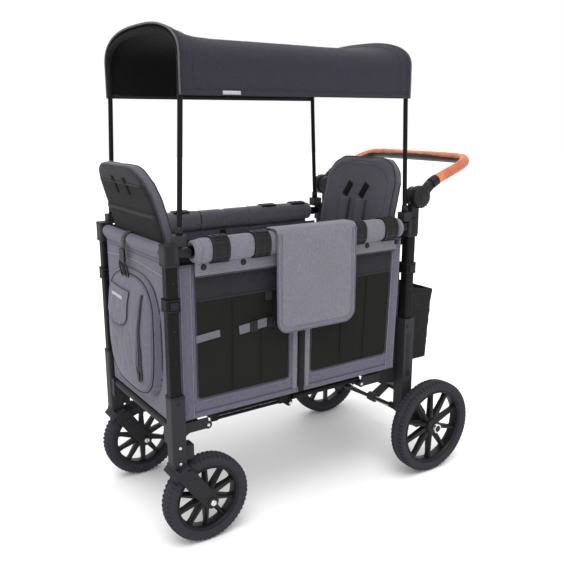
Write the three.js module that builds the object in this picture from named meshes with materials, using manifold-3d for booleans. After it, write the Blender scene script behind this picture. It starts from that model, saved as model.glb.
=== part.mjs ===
// A four-wheel folding stroller wagon with two seats, a canopy and an adjustable push handle.
// Millimetres, +Z up. -X is the front (swivelling casters), +X the rear (push handle), and the
// origin is the centre of the footprint on the floor. The frame folds at the middle of its sides.
import * as THREE from 'three';
import * as BufferGeometryUtils from 'three/addons/utils/BufferGeometryUtils.js';
import Module from 'manifold-3d';

const wasm = await Module();
wasm.setup();

// ---------------------------------------------------------------- driving dimensions
const BODY_OFFSET_X = -95.77;      // from the middle between the posts to the footprint's centre
const GAP = 0.3;                 // between pieces that touch

const POST_X = 358;              // corner posts, from the middle of the tub
const POST_Y = 200;
const POST_WIDTH = 28;
const SLEEVE_WIDTH = 36;
const CORNER_RADIUS = 6;
const BRACKET_LOW = 692;
const BRACKET_HIGH = 741;
const COLLAR_LOW = 589;
const COLLAR_HIGH = 619;

const RAIL_PIVOT_X = 320;        // upper rails: hinged at the brackets and at the middle
const RAIL_Y = 203;
const RAIL_Z = 720;
const RAIL_RADIUS = 10.5;
const RAIL_EAR_RADIUS = 11;
const RAIL_EAR_REACH = 28;
const PIN_RADIUS = 4;
const PAD_INNER_Y = 184;
const PAD_OUTER_Y = 234;
const PAD_LOW = 692;
const PAD_HIGH = 750;

const FLOOR_PIVOT_REAR_X = 215;  // floor: hinged at the rear, and at its knee
const FLOOR_KNEE_X = -25;
const FLOOR_PIVOT_FRONT_X = -265;
const FLOOR_PIVOT_Z = 286;
const FLOOR_RAIL_Y = 172;
const FLOOR_RAIL_Z = 297.5;
const FLOOR_RAIL_RADIUS = 9;
const FLOOR_EAR_INNER_Y = 182.3;
const FLOOR_EAR_OUTER_Y = 186.3;

const FRONT_WHEEL = { x: -285, y: 200, radius: 110, halfWidth: 23 };
const REAR_WHEEL = { x: 422, y: 252, radius: 135, halfWidth: 23 };
const CASTER_X = -355;
const HOUSING_LOW = 212;
const HOUSING_HIGH = 388;
const FORK_CLEARANCE_RADIUS = 114;
const FORK_INNER = 26;
const FORK_OUTER = 36;
const WHEEL_FACETS = 28;
const SPOKE_COUNT = 10;

const HUB_X = 374;               // push handle
const HUB_Z = 800;
const HUB_RADIUS = 29;
const HUB_INNER_Y = 205;
const HUB_OUTER_Y = 233;
const HANDLE_Y = 219;
const HANDLE_TUBE_RADIUS = 9;
const GRIP_RADIUS = 14.5;
const BUTTON_RADIUS = 9;

const CANOPY_POLE_X = 334;       // canopy
const CANOPY_POLE_Y = 205;
const CANOPY_POLE_RADIUS = 6;
const CANOPY_TOP_X = 320;
const CANOPY_SKIRT_LOW = 1057;
const CANOPY_SPRING_LINE = 1139;
const CANOPY_RISE = 72;
const CANOPY_THICKNESS = 3;
const CANOPY_HALF_LENGTH = 330;

const SEAT_PIVOT_X = 280;        // seats
const SEAT_PIVOT_Z = 488;
const SEAT_HALF_WIDTH = 163;
const SEAT_BASE_DEPTH = 190;
const SEAT_BASE_THICKNESS = 28;
const SEAT_BACK_THICKNESS = 28;
const SEAT_BACK_HEIGHT = 418;
const SEAT_CORNER_RADIUS = 80;
const SEAT_LEAN = THREE.MathUtils.degToRad(9);

// ---------------------------------------------------------------- materials
function material(color, roughness, metalness) {
  return new THREE.MeshStandardMaterial({ color, roughness, metalness });
}

const MATERIALS = {
  tube: material(0x26262a, 0.45, 0.6),
  casting: material(0x33323c, 0.6, 0.0),
  fabric: material(0x78768a, 0.95, 0.0),
  mesh: material(0x1a1a16, 0.9, 0.0),
  canopy: material(0x3a3944, 0.9, 0.0),
  leather: material(0xb9653a, 0.55, 0.0),
  tyre: material(0x3b3a46, 0.9, 0.0),
  rim: material(0x1c1c20, 0.5, 0.0),
  steel: material(0xb8b8bc, 0.3, 1.0),
};

// ---------------------------------------------------------------- solids
function toSolid(geometry) {
  const bare = geometry.clone();
  bare.deleteAttribute('normal');
  bare.deleteAttribute('uv');
  const merged = BufferGeometryUtils.mergeVertices(bare, 1e-4);
  const vertProperties = new Float32Array(merged.attributes.position.array);
  const triVerts = new Uint32Array(merged.index.array);
  return new wasm.Manifold(new wasm.Mesh({ numProp: 3, vertProperties, triVerts }));
}

function toGeometry(solid) {
  const mesh = solid.getMesh();
  const geometry = new THREE.BufferGeometry();
  geometry.setAttribute('position', new THREE.BufferAttribute(mesh.vertProperties, 3));
  geometry.setIndex(new THREE.BufferAttribute(mesh.triVerts, 1));
  geometry.computeVertexNormals();
  return geometry;
}

function join(...geometries) {
  const solids = geometries.map(toSolid);
  return toGeometry(solids.reduce((whole, piece) => whole.add(piece)));
}

function cut(geometry, ...tools) {
  const solids = tools.map(toSolid);
  return toGeometry(solids.reduce((whole, tool) => whole.subtract(tool), toSolid(geometry)));
}

function box([x0, x1], [y0, y1], [z0, z1]) {
  const geometry = new THREE.BoxGeometry(x1 - x0, y1 - y0, z1 - z0);
  return geometry.translate((x0 + x1) / 2, (y0 + y1) / 2, (z0 + z1) / 2);
}

function roundedRectangle(width, height, radius) {
  const x = width / 2;
  const y = height / 2;
  const shape = new THREE.Shape();
  shape.moveTo(-x + radius, -y);
  shape.lineTo(x - radius, -y);
  shape.absarc(x - radius, -y + radius, radius, -Math.PI / 2, 0, false);
  shape.lineTo(x, y - radius);
  shape.absarc(x - radius, y - radius, radius, 0, Math.PI / 2, false);
  shape.lineTo(-x + radius, y);
  shape.absarc(-x + radius, y - radius, radius, Math.PI / 2, Math.PI, false);
  shape.lineTo(-x, -y + radius);
  shape.absarc(-x + radius, -y + radius, radius, Math.PI, 1.5 * Math.PI, false);
  return shape;
}

// An upright column of rounded-square section.
function column(x, y, width, [z0, z1], radius = CORNER_RADIUS) {
  const options = { depth: z1 - z0, bevelEnabled: false, curveSegments: 2 };
  return new THREE.ExtrudeGeometry(roundedRectangle(width, width, radius), options).translate(x, y, z0);
}

// An XZ outline made solid between two Y values.
function plateXZ(shape, y0, y1, curveSegments = 8) {
  const low = Math.min(y0, y1);
  const depth = Math.abs(y1 - y0);
  const geometry = new THREE.ExtrudeGeometry(shape, { depth, bevelEnabled: false, curveSegments });
  return geometry.rotateX(Math.PI / 2).translate(0, low + depth, 0);
}

// A YZ outline made solid between two X values.
function plateYZ(shape, x0, x1, curveSegments = 10) {
  const options = { depth: x1 - x0, bevelEnabled: false, curveSegments };
  const geometry = new THREE.ExtrudeGeometry(shape, options);
  return geometry.rotateX(Math.PI / 2).rotateZ(Math.PI / 2).translate(x0, 0, 0);
}

function outline(points) {
  return new THREE.Shape(points.map(([x, y]) => new THREE.Vector2(x, y)));
}

function rod(start, end, radius, sides = 12) {
  const from = new THREE.Vector3(...start);
  const to = new THREE.Vector3(...end);
  const along = to.clone().sub(from);
  const geometry = new THREE.CylinderGeometry(radius, radius, along.length(), sides);
  const turn = new THREE.Quaternion().setFromUnitVectors(
    new THREE.Vector3(0, 1, 0), along.clone().normalize());
  const middle = from.add(to).multiplyScalar(0.5);
  return geometry.applyQuaternion(turn).translate(middle.x, middle.y, middle.z);
}

function discY(x, z, y0, y1, radius, sides = 16) {
  return rod([x, y0, z], [x, y1, z], radius, sides);
}

function tubeAlong(points, radius, steps, sides = 10) {
  const section = new THREE.Shape();
  section.absarc(0, 0, radius, 0, 2 * Math.PI, false);
  const path = new THREE.CatmullRomCurve3(points.map((p) => new THREE.Vector3(...p)), false, 'centripetal');
  return new THREE.ExtrudeGeometry(section, { steps, extrudePath: path, curveSegments: sides / 2 });
}

// ---------------------------------------------------------------- scene helpers
const wagon = new THREE.Group();
wagon.position.x = BODY_OFFSET_X;

function addPart(name, geometry, finish) {
  const mesh = new THREE.Mesh(geometry, finish);
  mesh.name = name;
  wagon.add(mesh);
}

const SIDES = [['near', -1], ['far', 1]];
const ENDS = [['front', -1], ['rear', 1]];

function lowHigh(a, b) {
  return [Math.min(a, b), Math.max(a, b)];
}

// Y values given for the far side, as a low and high pair on either side.
function span(side, inner, outer) {
  return side > 0 ? [inner, outer] : [-outer, -inner];
}

// ---------------------------------------------------------------- posts, brackets and cross tubes
function cornerPost(end, side, low) {
  const tube = column(end * POST_X, side * POST_Y, POST_WIDTH, [low + GAP, BRACKET_LOW - GAP]);
  const collar = column(end * POST_X, side * POST_Y, POST_WIDTH + 7, [COLLAR_LOW, COLLAR_HIGH]);
  return join(tube, collar);
}

function railEar(x, towards, side, inner, outer) {
  const ear = discY(x, RAIL_Z, side * inner, side * outer, RAIL_EAR_RADIUS, 14);
  const [y0, y1] = span(side, inner, outer);
  const heights = [RAIL_Z - RAIL_EAR_RADIUS + 1, RAIL_Z + RAIL_EAR_RADIUS - 1];
  const arm = box(lowHigh(x, x + towards), [y0, y1], heights);
  return join(ear, arm);
}

const EAR_A = [194, 202.4];      // the rail's own ear
const EAR_B = [203.6, 212];      // the ear that it is pinned to

function cornerBracket(end, side) {
  const block = column(end * POST_X, side * POST_Y, SLEEVE_WIDTH, [BRACKET_LOW, BRACKET_HIGH]);
  const ear = railEar(end * RAIL_PIVOT_X, end * 24, side, ...EAR_B);
  const pin = discY(end * RAIL_PIVOT_X, RAIL_Z, side * 196, side * 208, PIN_RADIUS, 8);
  const socketBlock = box(lowHigh(end * 322, end * 350), span(side, 191, 217), [736, 760]);
  const poleHole = rod(
    [end * CANOPY_POLE_X, side * CANOPY_POLE_Y, 744],
    [end * CANOPY_POLE_X, side * CANOPY_POLE_Y, 765], CANOPY_POLE_RADIUS + 0.9, 8);
  return cut(join(block, ear, pin, socketBlock), poleHole);
}

function handleTower(side) {
  const stem = box([362, 388], span(side, 187, 204), [730, HUB_Z]);
  const disc = discY(HUB_X, HUB_Z, side * 187, side * 204, 26, 16);
  return join(stem, disc);
}

function addPostsAndTubes() {
  for (const [endName, end] of ENDS) {
    const low = end > 0 ? 459 : HOUSING_HIGH;
    for (const [sideName, side] of SIDES) {
      addPart(`${endName}_post_${sideName}`, cornerPost(end, side, low), MATERIALS.tube);
      const bracket = cornerBracket(end, side);
      const shaped = end > 0 ? join(bracket, handleTower(side)) : bracket;
      addPart(`${endName}_bracket_${sideName}`, shaped, MATERIALS.casting);
    }
    const reach = POST_Y - SLEEVE_WIDTH / 2 - GAP;
    const tube = rod([end * POST_X, -reach, RAIL_Z], [end * POST_X, reach, RAIL_Z], 11, 12);
    addPart(`${endName}_upper_tube`, tube, MATERIALS.tube);
  }
}

// ---------------------------------------------------------------- rear legs, axle and brake
function rearLeg(side) {
  const leg = outline([
    [340, 459], [376, 459], [376, 245], [438, 160], [440, 118], [404, 118], [340, 180],
  ]);
  const [y0, y1] = span(side, 182, 218);
  const strutY = side * FLOOR_RAIL_Y;
  const strut = rod([180, strutY, 279], [345, strutY, 187], 5, 10);
  const boss = discY(345, 187, side * 165, side * 184, 9, 16);
  const rest = box([170, 190], [strutY - 7, strutY + 7], [275, 284]);
  const bore = discY(REAR_WHEEL.x, REAR_WHEEL.radius, side * 170, side * 230, 7.9, 12);
  return cut(join(plateXZ(leg, y0, y1), strut, boss, rest), bore);
}

function rearAxle() {
  const shaft = discY(REAR_WHEEL.x, REAR_WHEEL.radius, -286, 286, 7, 12);
  const caps = SIDES.map(([, side]) =>
    discY(REAR_WHEEL.x, REAR_WHEEL.radius, side * 278, side * 286, 13, 12));
  return join(shaft, ...caps);
}

function brakePedal() {
  const ring = discY(REAR_WHEEL.x, REAR_WHEEL.radius, -14, 14, 14, 16);
  const arm = outline([[430, 128], [430, 146], [478, 172], [500, 172], [500, 162], [480, 158]]);
  const plate = outline([[476, 160], [476, 172], [512, 172], [512, 162]]);
  const whole = join(ring, plateXZ(arm, -12, 12), plateXZ(plate, -45, 45));
  return cut(whole, discY(REAR_WHEEL.x, REAR_WHEEL.radius, -20, 20, 7.9, 12));
}

function addRearRunningGear() {
  for (const [sideName, side] of SIDES) {
    addPart(`rear_leg_${sideName}`, rearLeg(side), MATERIALS.casting);
  }
  addPart('rear_axle', rearAxle(), MATERIALS.steel);
  addPart('brake_pedal', brakePedal(), MATERIALS.casting);
}

// ---------------------------------------------------------------- wheels
// Each wheel stands on the middle of a facet.
function facetRadius(radius) {
  return radius / Math.cos(Math.PI / WHEEL_FACETS);
}

function ringAt(wheel, side, profile) {
  const geometry = new THREE.LatheGeometry(
    profile.map(([r, h]) => new THREE.Vector2(r, h)), WHEEL_FACETS);
  // the lathe's seam is turned so that a facet, not an edge, faces down
  geometry.rotateY(Math.PI / WHEEL_FACETS);
  return geometry.translate(wheel.x, side * wheel.y, wheel.radius);
}

function tyre(wheel, side) {
  const outer = facetRadius(wheel.radius);
  const inner = wheel.radius - 27;
  const half = wheel.halfWidth;
  return ringAt(wheel, side, [
    [inner, -half + 5], [outer - 12, -half], [outer - 4, -half + 4], [outer, -half + 10],
    [outer, half - 10], [outer - 4, half - 4], [outer - 12, half], [inner, half - 5],
    [inner, -half + 5],
  ]);
}

function rim(wheel, side, boreRadius, hubHalf) {
  const outer = (wheel.radius - 27) * Math.cos(Math.PI / WHEEL_FACETS) - GAP;
  const half = wheel.halfWidth - 4;
  const hoop = ringAt(wheel, side, [
    [outer - 7, -half], [outer, -half], [outer, half], [outer - 7, half], [outer - 7, -half],
  ]);
  const y = side * wheel.y;
  const hub = discY(wheel.x, wheel.radius, y - hubHalf, y + hubHalf, 19, 16);
  const spokes = [];
  for (let i = 0; i < SPOKE_COUNT; i++) {
    const spoke = box([0, outer - 3], [-9, 9], [-4, 4]).rotateY((2 * Math.PI * i) / SPOKE_COUNT);
    spokes.push(spoke.translate(wheel.x, y, wheel.radius));
  }
  const bore = discY(wheel.x, wheel.radius, y - 60, y + 60, boreRadius, 8);
  return cut(join(hoop, hub, ...spokes), bore);
}

function addWheels() {
  for (const [sideName, side] of SIDES) {
    addPart(`front_tyre_${sideName}`, tyre(FRONT_WHEEL, side), MATERIALS.tyre);
    addPart(`front_rim_${sideName}`, rim(FRONT_WHEEL, side, 5.9, 24), MATERIALS.rim);
    addPart(`rear_tyre_${sideName}`, tyre(REAR_WHEEL, side), MATERIALS.tyre);
    addPart(`rear_rim_${sideName}`, rim(REAR_WHEEL, side, 8.1, 25), MATERIALS.rim);
  }
}

// ---------------------------------------------------------------- casters
function casterFork(side) {
  const arms = new THREE.Shape();
  arms.moveTo(-377, 208.4);
  arms.lineTo(-334, 208.4);
  arms.lineTo(-272, 124);
  arms.absarc(FRONT_WHEEL.x, FRONT_WHEEL.radius, 18, 0.8, -2.2, true);
  arms.lineTo(-377, 176);
  const [y0, y1] = [side * FRONT_WHEEL.y - FORK_OUTER, side * FRONT_WHEEL.y + FORK_OUTER];
  const wheelSpace = discY(
    FRONT_WHEEL.x, FRONT_WHEEL.radius,
    side * FRONT_WHEEL.y - FORK_INNER, side * FRONT_WHEEL.y + FORK_INNER, FORK_CLEARANCE_RADIUS + 1, 24);
  const stem = rod([CASTER_X, side * POST_Y, 204], [CASTER_X, side * POST_Y, 242], 6, 8);
  const axle = discY(FRONT_WHEEL.x, FRONT_WHEEL.radius, y0 - 6, y1 + 6, 5, 8);
  const heads = [y0 - 6, y1 + 1].map((y) =>
    discY(FRONT_WHEEL.x, FRONT_WHEEL.radius, y, y + 5, 8, 10));
  return join(cut(plateXZ(arms, y0, y1), wheelSpace), stem, axle, ...heads);
}

function casterHousing(side) {
  const block = column(CASTER_X - 1, side * POST_Y, SLEEVE_WIDTH, [HOUSING_LOW, HOUSING_HIGH]);
  const catchBox = box([-342, -319], [side * POST_Y - 14, side * POST_Y + 14], [226, 262]);
  const bore = rod([CASTER_X, side * POST_Y, 200], [CASTER_X, side * POST_Y, 246], 6.9, 8);
  return cut(join(block, catchBox), bore);
}

function addCasters() {
  for (const [sideName, side] of SIDES) {
    addPart(`caster_housing_${sideName}`, casterHousing(side), MATERIALS.casting);
    addPart(`caster_fork_${sideName}`, casterFork(side), MATERIALS.casting);
  }
}

// ---------------------------------------------------------------- upper rails and their pads
function upperRail(end, side) {
  const outerEar = railEar(end * RAIL_PIVOT_X, -end * RAIL_EAR_REACH, side, ...EAR_A);
  const tube = rod(
    [end * (RAIL_PIVOT_X - RAIL_EAR_REACH + 4), side * RAIL_Y, RAIL_Z],
    [end * (RAIL_EAR_REACH - 4), side * RAIL_Y, RAIL_Z], RAIL_RADIUS, 12);
  const kneeEar = railEar(0, end * RAIL_EAR_REACH, side, ...(end > 0 ? EAR_A : EAR_B));
  const pinHole = (x) => discY(x, RAIL_Z, side * 180, side * 225, PIN_RADIUS + 0.8, 8);
  const drilled = cut(join(outerEar, tube, kneeEar), pinHole(end * RAIL_PIVOT_X), pinHole(0));
  const kneePin = discY(0, RAIL_Z, side * 196, side * 210, PIN_RADIUS, 8);
  const hub = discY(0, RAIL_Z, side * 194, side * 198, PIN_RADIUS + 2, 8);
  return end > 0 ? join(drilled, kneePin, hub) : drilled;
}

function railPad(end, side) {
  const section = roundedRectangle(PAD_OUTER_Y - PAD_INNER_Y, PAD_HIGH - PAD_LOW, 12);
  const from = end > 0 ? 76 : -(RAIL_PIVOT_X - 24);
  const to = end > 0 ? RAIL_PIVOT_X - 24 : -76;
  const middleY = side * (PAD_INNER_Y + PAD_OUTER_Y) / 2;
  const outside = plateYZ(section, from, to, 4).translate(0, middleY, (PAD_LOW + PAD_HIGH) / 2);
  const inside = rod([from - 5, side * RAIL_Y, RAIL_Z], [to + 5, side * RAIL_Y, RAIL_Z], 15.9, 12);
  return cut(outside, inside);
}

function addUpperRails() {
  for (const [endName, end] of ENDS) {
    for (const [sideName, side] of SIDES) {
      addPart(`upper_rail_${endName}_${sideName}`, upperRail(end, side), MATERIALS.tube);
      addPart(`rail_pad_${endName}_${sideName}`, railPad(end, side), MATERIALS.fabric);
    }
  }
}

// ---------------------------------------------------------------- floor
// A fixed end of the floor: two castings, a cross tube, a shelf and the ears of the hinge.
function floorSupport(end) {
  const pivot = end > 0 ? FLOOR_PIVOT_REAR_X : -FLOOR_PIVOT_FRONT_X;
  const start = pivot + 26;
  const along = (a, b) => lowHigh(end * a, end * b);
  const casting = outline([
    [start, 288], [start, 306], [330, 312], [371, 312], [371, 262], [336, 262],
  ].map(([x, z]) => [end * x, z]));
  const pieces = [
    box(along(start + 2, 345), [-166, 166], [291, 299]),
    rod([end * POST_X, -170, 301], [end * POST_X, 170, 301], 11, 12),
  ];
  for (const [, side] of SIDES) {
    pieces.push(plateXZ(casting, side * 163, side * 181.7));
    pieces.push(box(along(start + 4, start + 40), span(side, 178, 184), [286, 305]));
    pieces.push(box(
      along(pivot, start + 40), span(side, FLOOR_EAR_INNER_Y, FLOOR_EAR_OUTER_Y), [278, 305]));
    pieces.push(discY(end * pivot, FLOOR_PIVOT_Z, side * FLOOR_EAR_INNER_Y, side * FLOOR_EAR_OUTER_Y, 10));
    pieces.push(discY(end * pivot, FLOOR_PIVOT_Z, side * 168, side * 184, PIN_RADIUS, 8));
  }
  return join(...pieces);
}

// The thick rear half of a lower side rail, pinned at the rear and carrying the knee pin.
function lowerRailRear(side) {
  const y = side * FLOOR_RAIL_Y;
  const tube = rod(
    [FLOOR_PIVOT_REAR_X - 2, y, FLOOR_RAIL_Z], [FLOOR_KNEE_X + 13, y, FLOOR_RAIL_Z],
    FLOOR_RAIL_RADIUS, 12);
  const eye = discY(FLOOR_PIVOT_REAR_X, FLOOR_PIVOT_Z, side * 165, side * 181.6, 10);
  const eyeHole = discY(FLOOR_PIVOT_REAR_X, FLOOR_PIVOT_Z, side * 160, side * 190, PIN_RADIUS + 0.8, 8);
  const knee = discY(FLOOR_KNEE_X, FLOOR_PIVOT_Z, side * 163.5, side * 172, 10);
  const arm = box([FLOOR_KNEE_X, FLOOR_KNEE_X + 20], span(side, 163.5, 172), [288, 302]);
  const pin = discY(FLOOR_KNEE_X, FLOOR_PIVOT_Z, side * 168, side * 180, PIN_RADIUS, 8);
  return join(cut(join(tube, eye), eyeHole), knee, arm, pin);
}

// The front half: two thin rods between a knee fitting and an end block.
function lowerRailFront(side) {
  const y = side * 176.6;
  const end = FLOOR_PIVOT_FRONT_X + 12;
  const rods = [293, 303].map((z) => rod([end + 4, y, z], [FLOOR_KNEE_X - 8, y, z], 4, 12));
  const kneeDisc = discY(FLOOR_KNEE_X, FLOOR_PIVOT_Z, side * 172.6, side * 181, 10);
  const kneeBlock = box([FLOOR_KNEE_X - 32, FLOOR_KNEE_X - 4], span(side, 172.6, 181), [288.5, 307]);
  const endBlock = box([end, end + 18], span(side, 172.6, 181), [288.5, 307]);
  const hole = discY(FLOOR_KNEE_X, FLOOR_PIVOT_Z, side * 160, side * 190, PIN_RADIUS + 0.8, 8);
  return join(cut(join(kneeDisc, kneeBlock), hole), ...rods, endBlock);
}

function addFloor() {
  for (const [endName, end] of ENDS) {
    addPart(`${endName}_floor_support`, floorSupport(end), MATERIALS.casting);
  }
  for (const [sideName, side] of SIDES) {
    addPart(`lower_rail_rear_${sideName}`, lowerRailRear(side), MATERIALS.tube);
    addPart(`lower_rail_front_${sideName}`, lowerRailFront(side), MATERIALS.tube);
  }
  const rearPanel = box([FLOOR_KNEE_X + 4, FLOOR_PIVOT_REAR_X - 6], [-162, 162], [289, 297]);
  const frontPanel = box([FLOOR_PIVOT_FRONT_X + 15, FLOOR_KNEE_X - 4], [-162, 162], [289, 297]);
  addPart('floor_rear', rearPanel, MATERIALS.fabric);
  addPart('floor_front', frontPanel, MATERIALS.fabric);
}

// ---------------------------------------------------------------- push handle
const HANDLE_ARM = [
  [HUB_X, HANDLE_Y, HUB_Z], [400, HANDLE_Y, 824], [432, HANDLE_Y, 843], [483, HANDLE_Y, 862],
  [534, 216, 881], [559, 201, 890], [571, 172, 894], [573, 100, 895],
];

function handlePath() {
  const far = [...HANDLE_ARM];
  const near = far.map(([x, y, z]) => [x, -y, z]).reverse();
  return [...far, [573, 0, 895], ...near];
}

function partOfPath(points, from, to, count) {
  const curve = new THREE.CatmullRomCurve3(
    points.map((p) => new THREE.Vector3(...p)), false, 'centripetal');
  const samples = Array.from({ length: count + 1 }, (_, i) => from + ((to - from) * i) / count);
  return samples.map((share) => curve.getPointAt(share).toArray());
}

function handleTube() {
  const tube = tubeAlong(handlePath(), HANDLE_TUBE_RADIUS, 36, 8);
  const hubs = SIDES.map(([, side]) =>
    discY(HUB_X, HUB_Z, side * HUB_INNER_Y, side * HUB_OUTER_Y, HUB_RADIUS, 20));
  const recesses = SIDES.map(([, side]) =>
    discY(HUB_X, HUB_Z, side * 224.5, side * 240, BUTTON_RADIUS + 0.9, 12));
  return cut(join(tube, ...hubs), ...recesses);
}

function handleGrip() {
  const sleeve = tubeAlong(partOfPath(handlePath(), 0.075, 0.925, 44), GRIP_RADIUS, 24, 12);
  return cut(sleeve, tubeAlong(handlePath(), HANDLE_TUBE_RADIUS + 1.1, 36, 10));
}

function addHandle() {
  addPart('handle_tube', handleTube(), MATERIALS.tube);
  addPart('handle_grip', handleGrip(), MATERIALS.leather);
  for (const [sideName, side] of SIDES) {
    const button = discY(HUB_X, HUB_Z, side * 228, side * 237, BUTTON_RADIUS, 12);
    addPart(`handle_button_${sideName}`, button, MATERIALS.casting);
  }
}

// ---------------------------------------------------------------- soft parts
function sideWall(side) {
  return box([-336, 338], span(side, 196.5, 201.5), [314, 689]);
}

function frontPanel() {
  const sheet = box([-366, -353], [-176, 176], [316, 704]);
  const pouch = outline([
    [-364, 340], [-364, 645], [-380, 632], [-394, 540], [-396, 420], [-384, 350],
  ]);
  return join(sheet, plateXZ(pouch, -152, 152));
}

function rearBasket() {
  const bag = outline([[379, 536], [379, 320], [456, 320], [469, 332], [482, 516]]);
  const inside = outline([[383, 560], [383, 324], [454, 324], [465, 334], [479.6, 540], [478, 560]]);
  return cut(plateXZ(bag, -188, 188), plateXZ(inside, -184, 184));
}

function sideFlap() {
  const sheet = new THREE.Shape();
  sheet.moveTo(-99, 757);
  sheet.lineTo(-99, 530);
  sheet.absarc(-69, 530, 30, Math.PI, 1.5 * Math.PI, false);
  sheet.lineTo(107, 500);
  sheet.absarc(107, 530, 30, -0.5 * Math.PI, 0, false);
  sheet.lineTo(137, 757);
  return join(plateXZ(sheet, -243, -236, 5), box([-99, 137], [-243, -188], [752, 757]));
}

function seatBack(end) {
  const shape = new THREE.Shape();
  const shoulder = SEAT_BACK_HEIGHT - SEAT_CORNER_RADIUS;
  const corner = SEAT_HALF_WIDTH - SEAT_CORNER_RADIUS;
  shape.moveTo(-SEAT_HALF_WIDTH + 14, 0);
  shape.lineTo(SEAT_HALF_WIDTH - 14, 0);
  shape.lineTo(SEAT_HALF_WIDTH, 14);
  shape.lineTo(SEAT_HALF_WIDTH, shoulder);
  shape.absarc(corner, shoulder, SEAT_CORNER_RADIUS, 0, Math.PI / 2, false);
  shape.absarc(-corner, shoulder, SEAT_CORNER_RADIUS, Math.PI / 2, Math.PI, false);
  shape.lineTo(-SEAT_HALF_WIDTH, 14);
  const half = SEAT_BACK_THICKNESS / 2;
  const back = plateYZ(shape, -half, half, 10).rotateY(end * SEAT_LEAN);
  return back.translate(end * (SEAT_PIVOT_X + half + 1), 0, SEAT_PIVOT_Z);
}

function seatBase(end) {
  const middle = end * (SEAT_PIVOT_X - 2 - SEAT_BASE_DEPTH / 2);
  const section = roundedRectangle(SEAT_BASE_DEPTH, SEAT_BASE_THICKNESS, 10);
  const cushion = plateXZ(section, -SEAT_HALF_WIDTH, SEAT_HALF_WIDTH, 4);
  return cushion.translate(middle, 0, SEAT_PIVOT_Z - 1 - SEAT_BASE_THICKNESS / 2);
}

function canopySection() {
  const outerY = CANOPY_POLE_Y + CANOPY_POLE_RADIUS + 2 + CANOPY_THICKNESS;
  const innerY = outerY - CANOPY_THICKNESS;
  const rise = CANOPY_RISE + CANOPY_THICKNESS;
  const shape = new THREE.Shape();
  shape.moveTo(outerY, CANOPY_SKIRT_LOW);
  shape.lineTo(outerY, CANOPY_SPRING_LINE);
  shape.absellipse(0, CANOPY_SPRING_LINE, outerY, rise, 0, Math.PI, false, 0);
  shape.lineTo(-outerY, CANOPY_SKIRT_LOW);
  shape.lineTo(-innerY, CANOPY_SKIRT_LOW);
  shape.lineTo(-innerY, CANOPY_SPRING_LINE);
  shape.absellipse(0, CANOPY_SPRING_LINE, innerY, CANOPY_RISE, Math.PI, 0, true, 0);
  shape.lineTo(innerY, CANOPY_SKIRT_LOW);
  return shape;
}

function canopyHoop(end) {
  const lift = CANOPY_RISE - CANOPY_POLE_RADIUS - 2;
  const side = (sign) => [
    [end * CANOPY_POLE_X, sign * CANOPY_POLE_Y, 744.4],
    [end * CANOPY_POLE_X, sign * CANOPY_POLE_Y, 764],
    [end * (CANOPY_POLE_X - 2), sign * CANOPY_POLE_Y, 800],
    [end * (CANOPY_TOP_X + 2), sign * CANOPY_POLE_Y, 1040],
    [end * CANOPY_TOP_X, sign * CANOPY_POLE_Y, CANOPY_SPRING_LINE - 20],
  ];
  const arch = Array.from({ length: 9 }, (_, i) => {
    const angle = (Math.PI * i) / 8;
    return [end * CANOPY_TOP_X, CANOPY_POLE_Y * Math.cos(angle), CANOPY_SPRING_LINE + lift * Math.sin(angle)];
  });
  return tubeAlong([...side(1), ...arch, ...side(-1).reverse()], CANOPY_POLE_RADIUS, 34, 8);
}

function addSoftParts() {
  for (const [sideName, side] of SIDES) {
    addPart(`side_wall_${sideName}`, sideWall(side), MATERIALS.mesh);
  }
  addPart('front_panel', frontPanel(), MATERIALS.fabric);
  addPart('rear_panel', box([346, 354], [-176, 176], [316, 704]), MATERIALS.fabric);
  addPart('rear_basket', rearBasket(), MATERIALS.mesh);
  addPart('side_flap', sideFlap(), MATERIALS.fabric);
  for (const [endName, end] of ENDS) {
    addPart(`seat_back_${endName}`, seatBack(end), MATERIALS.fabric);
    addPart(`seat_base_${endName}`, seatBase(end), MATERIALS.fabric);
    addPart(`canopy_hoop_${endName}`, canopyHoop(end), MATERIALS.tube);
  }
  const cover = plateYZ(canopySection(), -CANOPY_HALF_LENGTH, CANOPY_HALF_LENGTH, 16);
  addPart('canopy_fabric', cover, MATERIALS.canopy);
}

addPostsAndTubes();
addRearRunningGear();
addWheels();
addCasters();
addUpperRails();
addFloor();
addHandle();
addSoftParts();

export default wagon;
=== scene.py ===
"""A folding stroller wagon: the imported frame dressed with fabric, leather, rubber and moulded plastic.

Metres, +Z up. -X is the front, +X the push handle, -Y the near side. Lengths measured along the
wagon are given from the middle between its posts and turned into frame coordinates by at().
"""

import math

import bmesh
import bpy
import numpy as np
from mathutils import Matrix, Vector, noise


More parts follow.
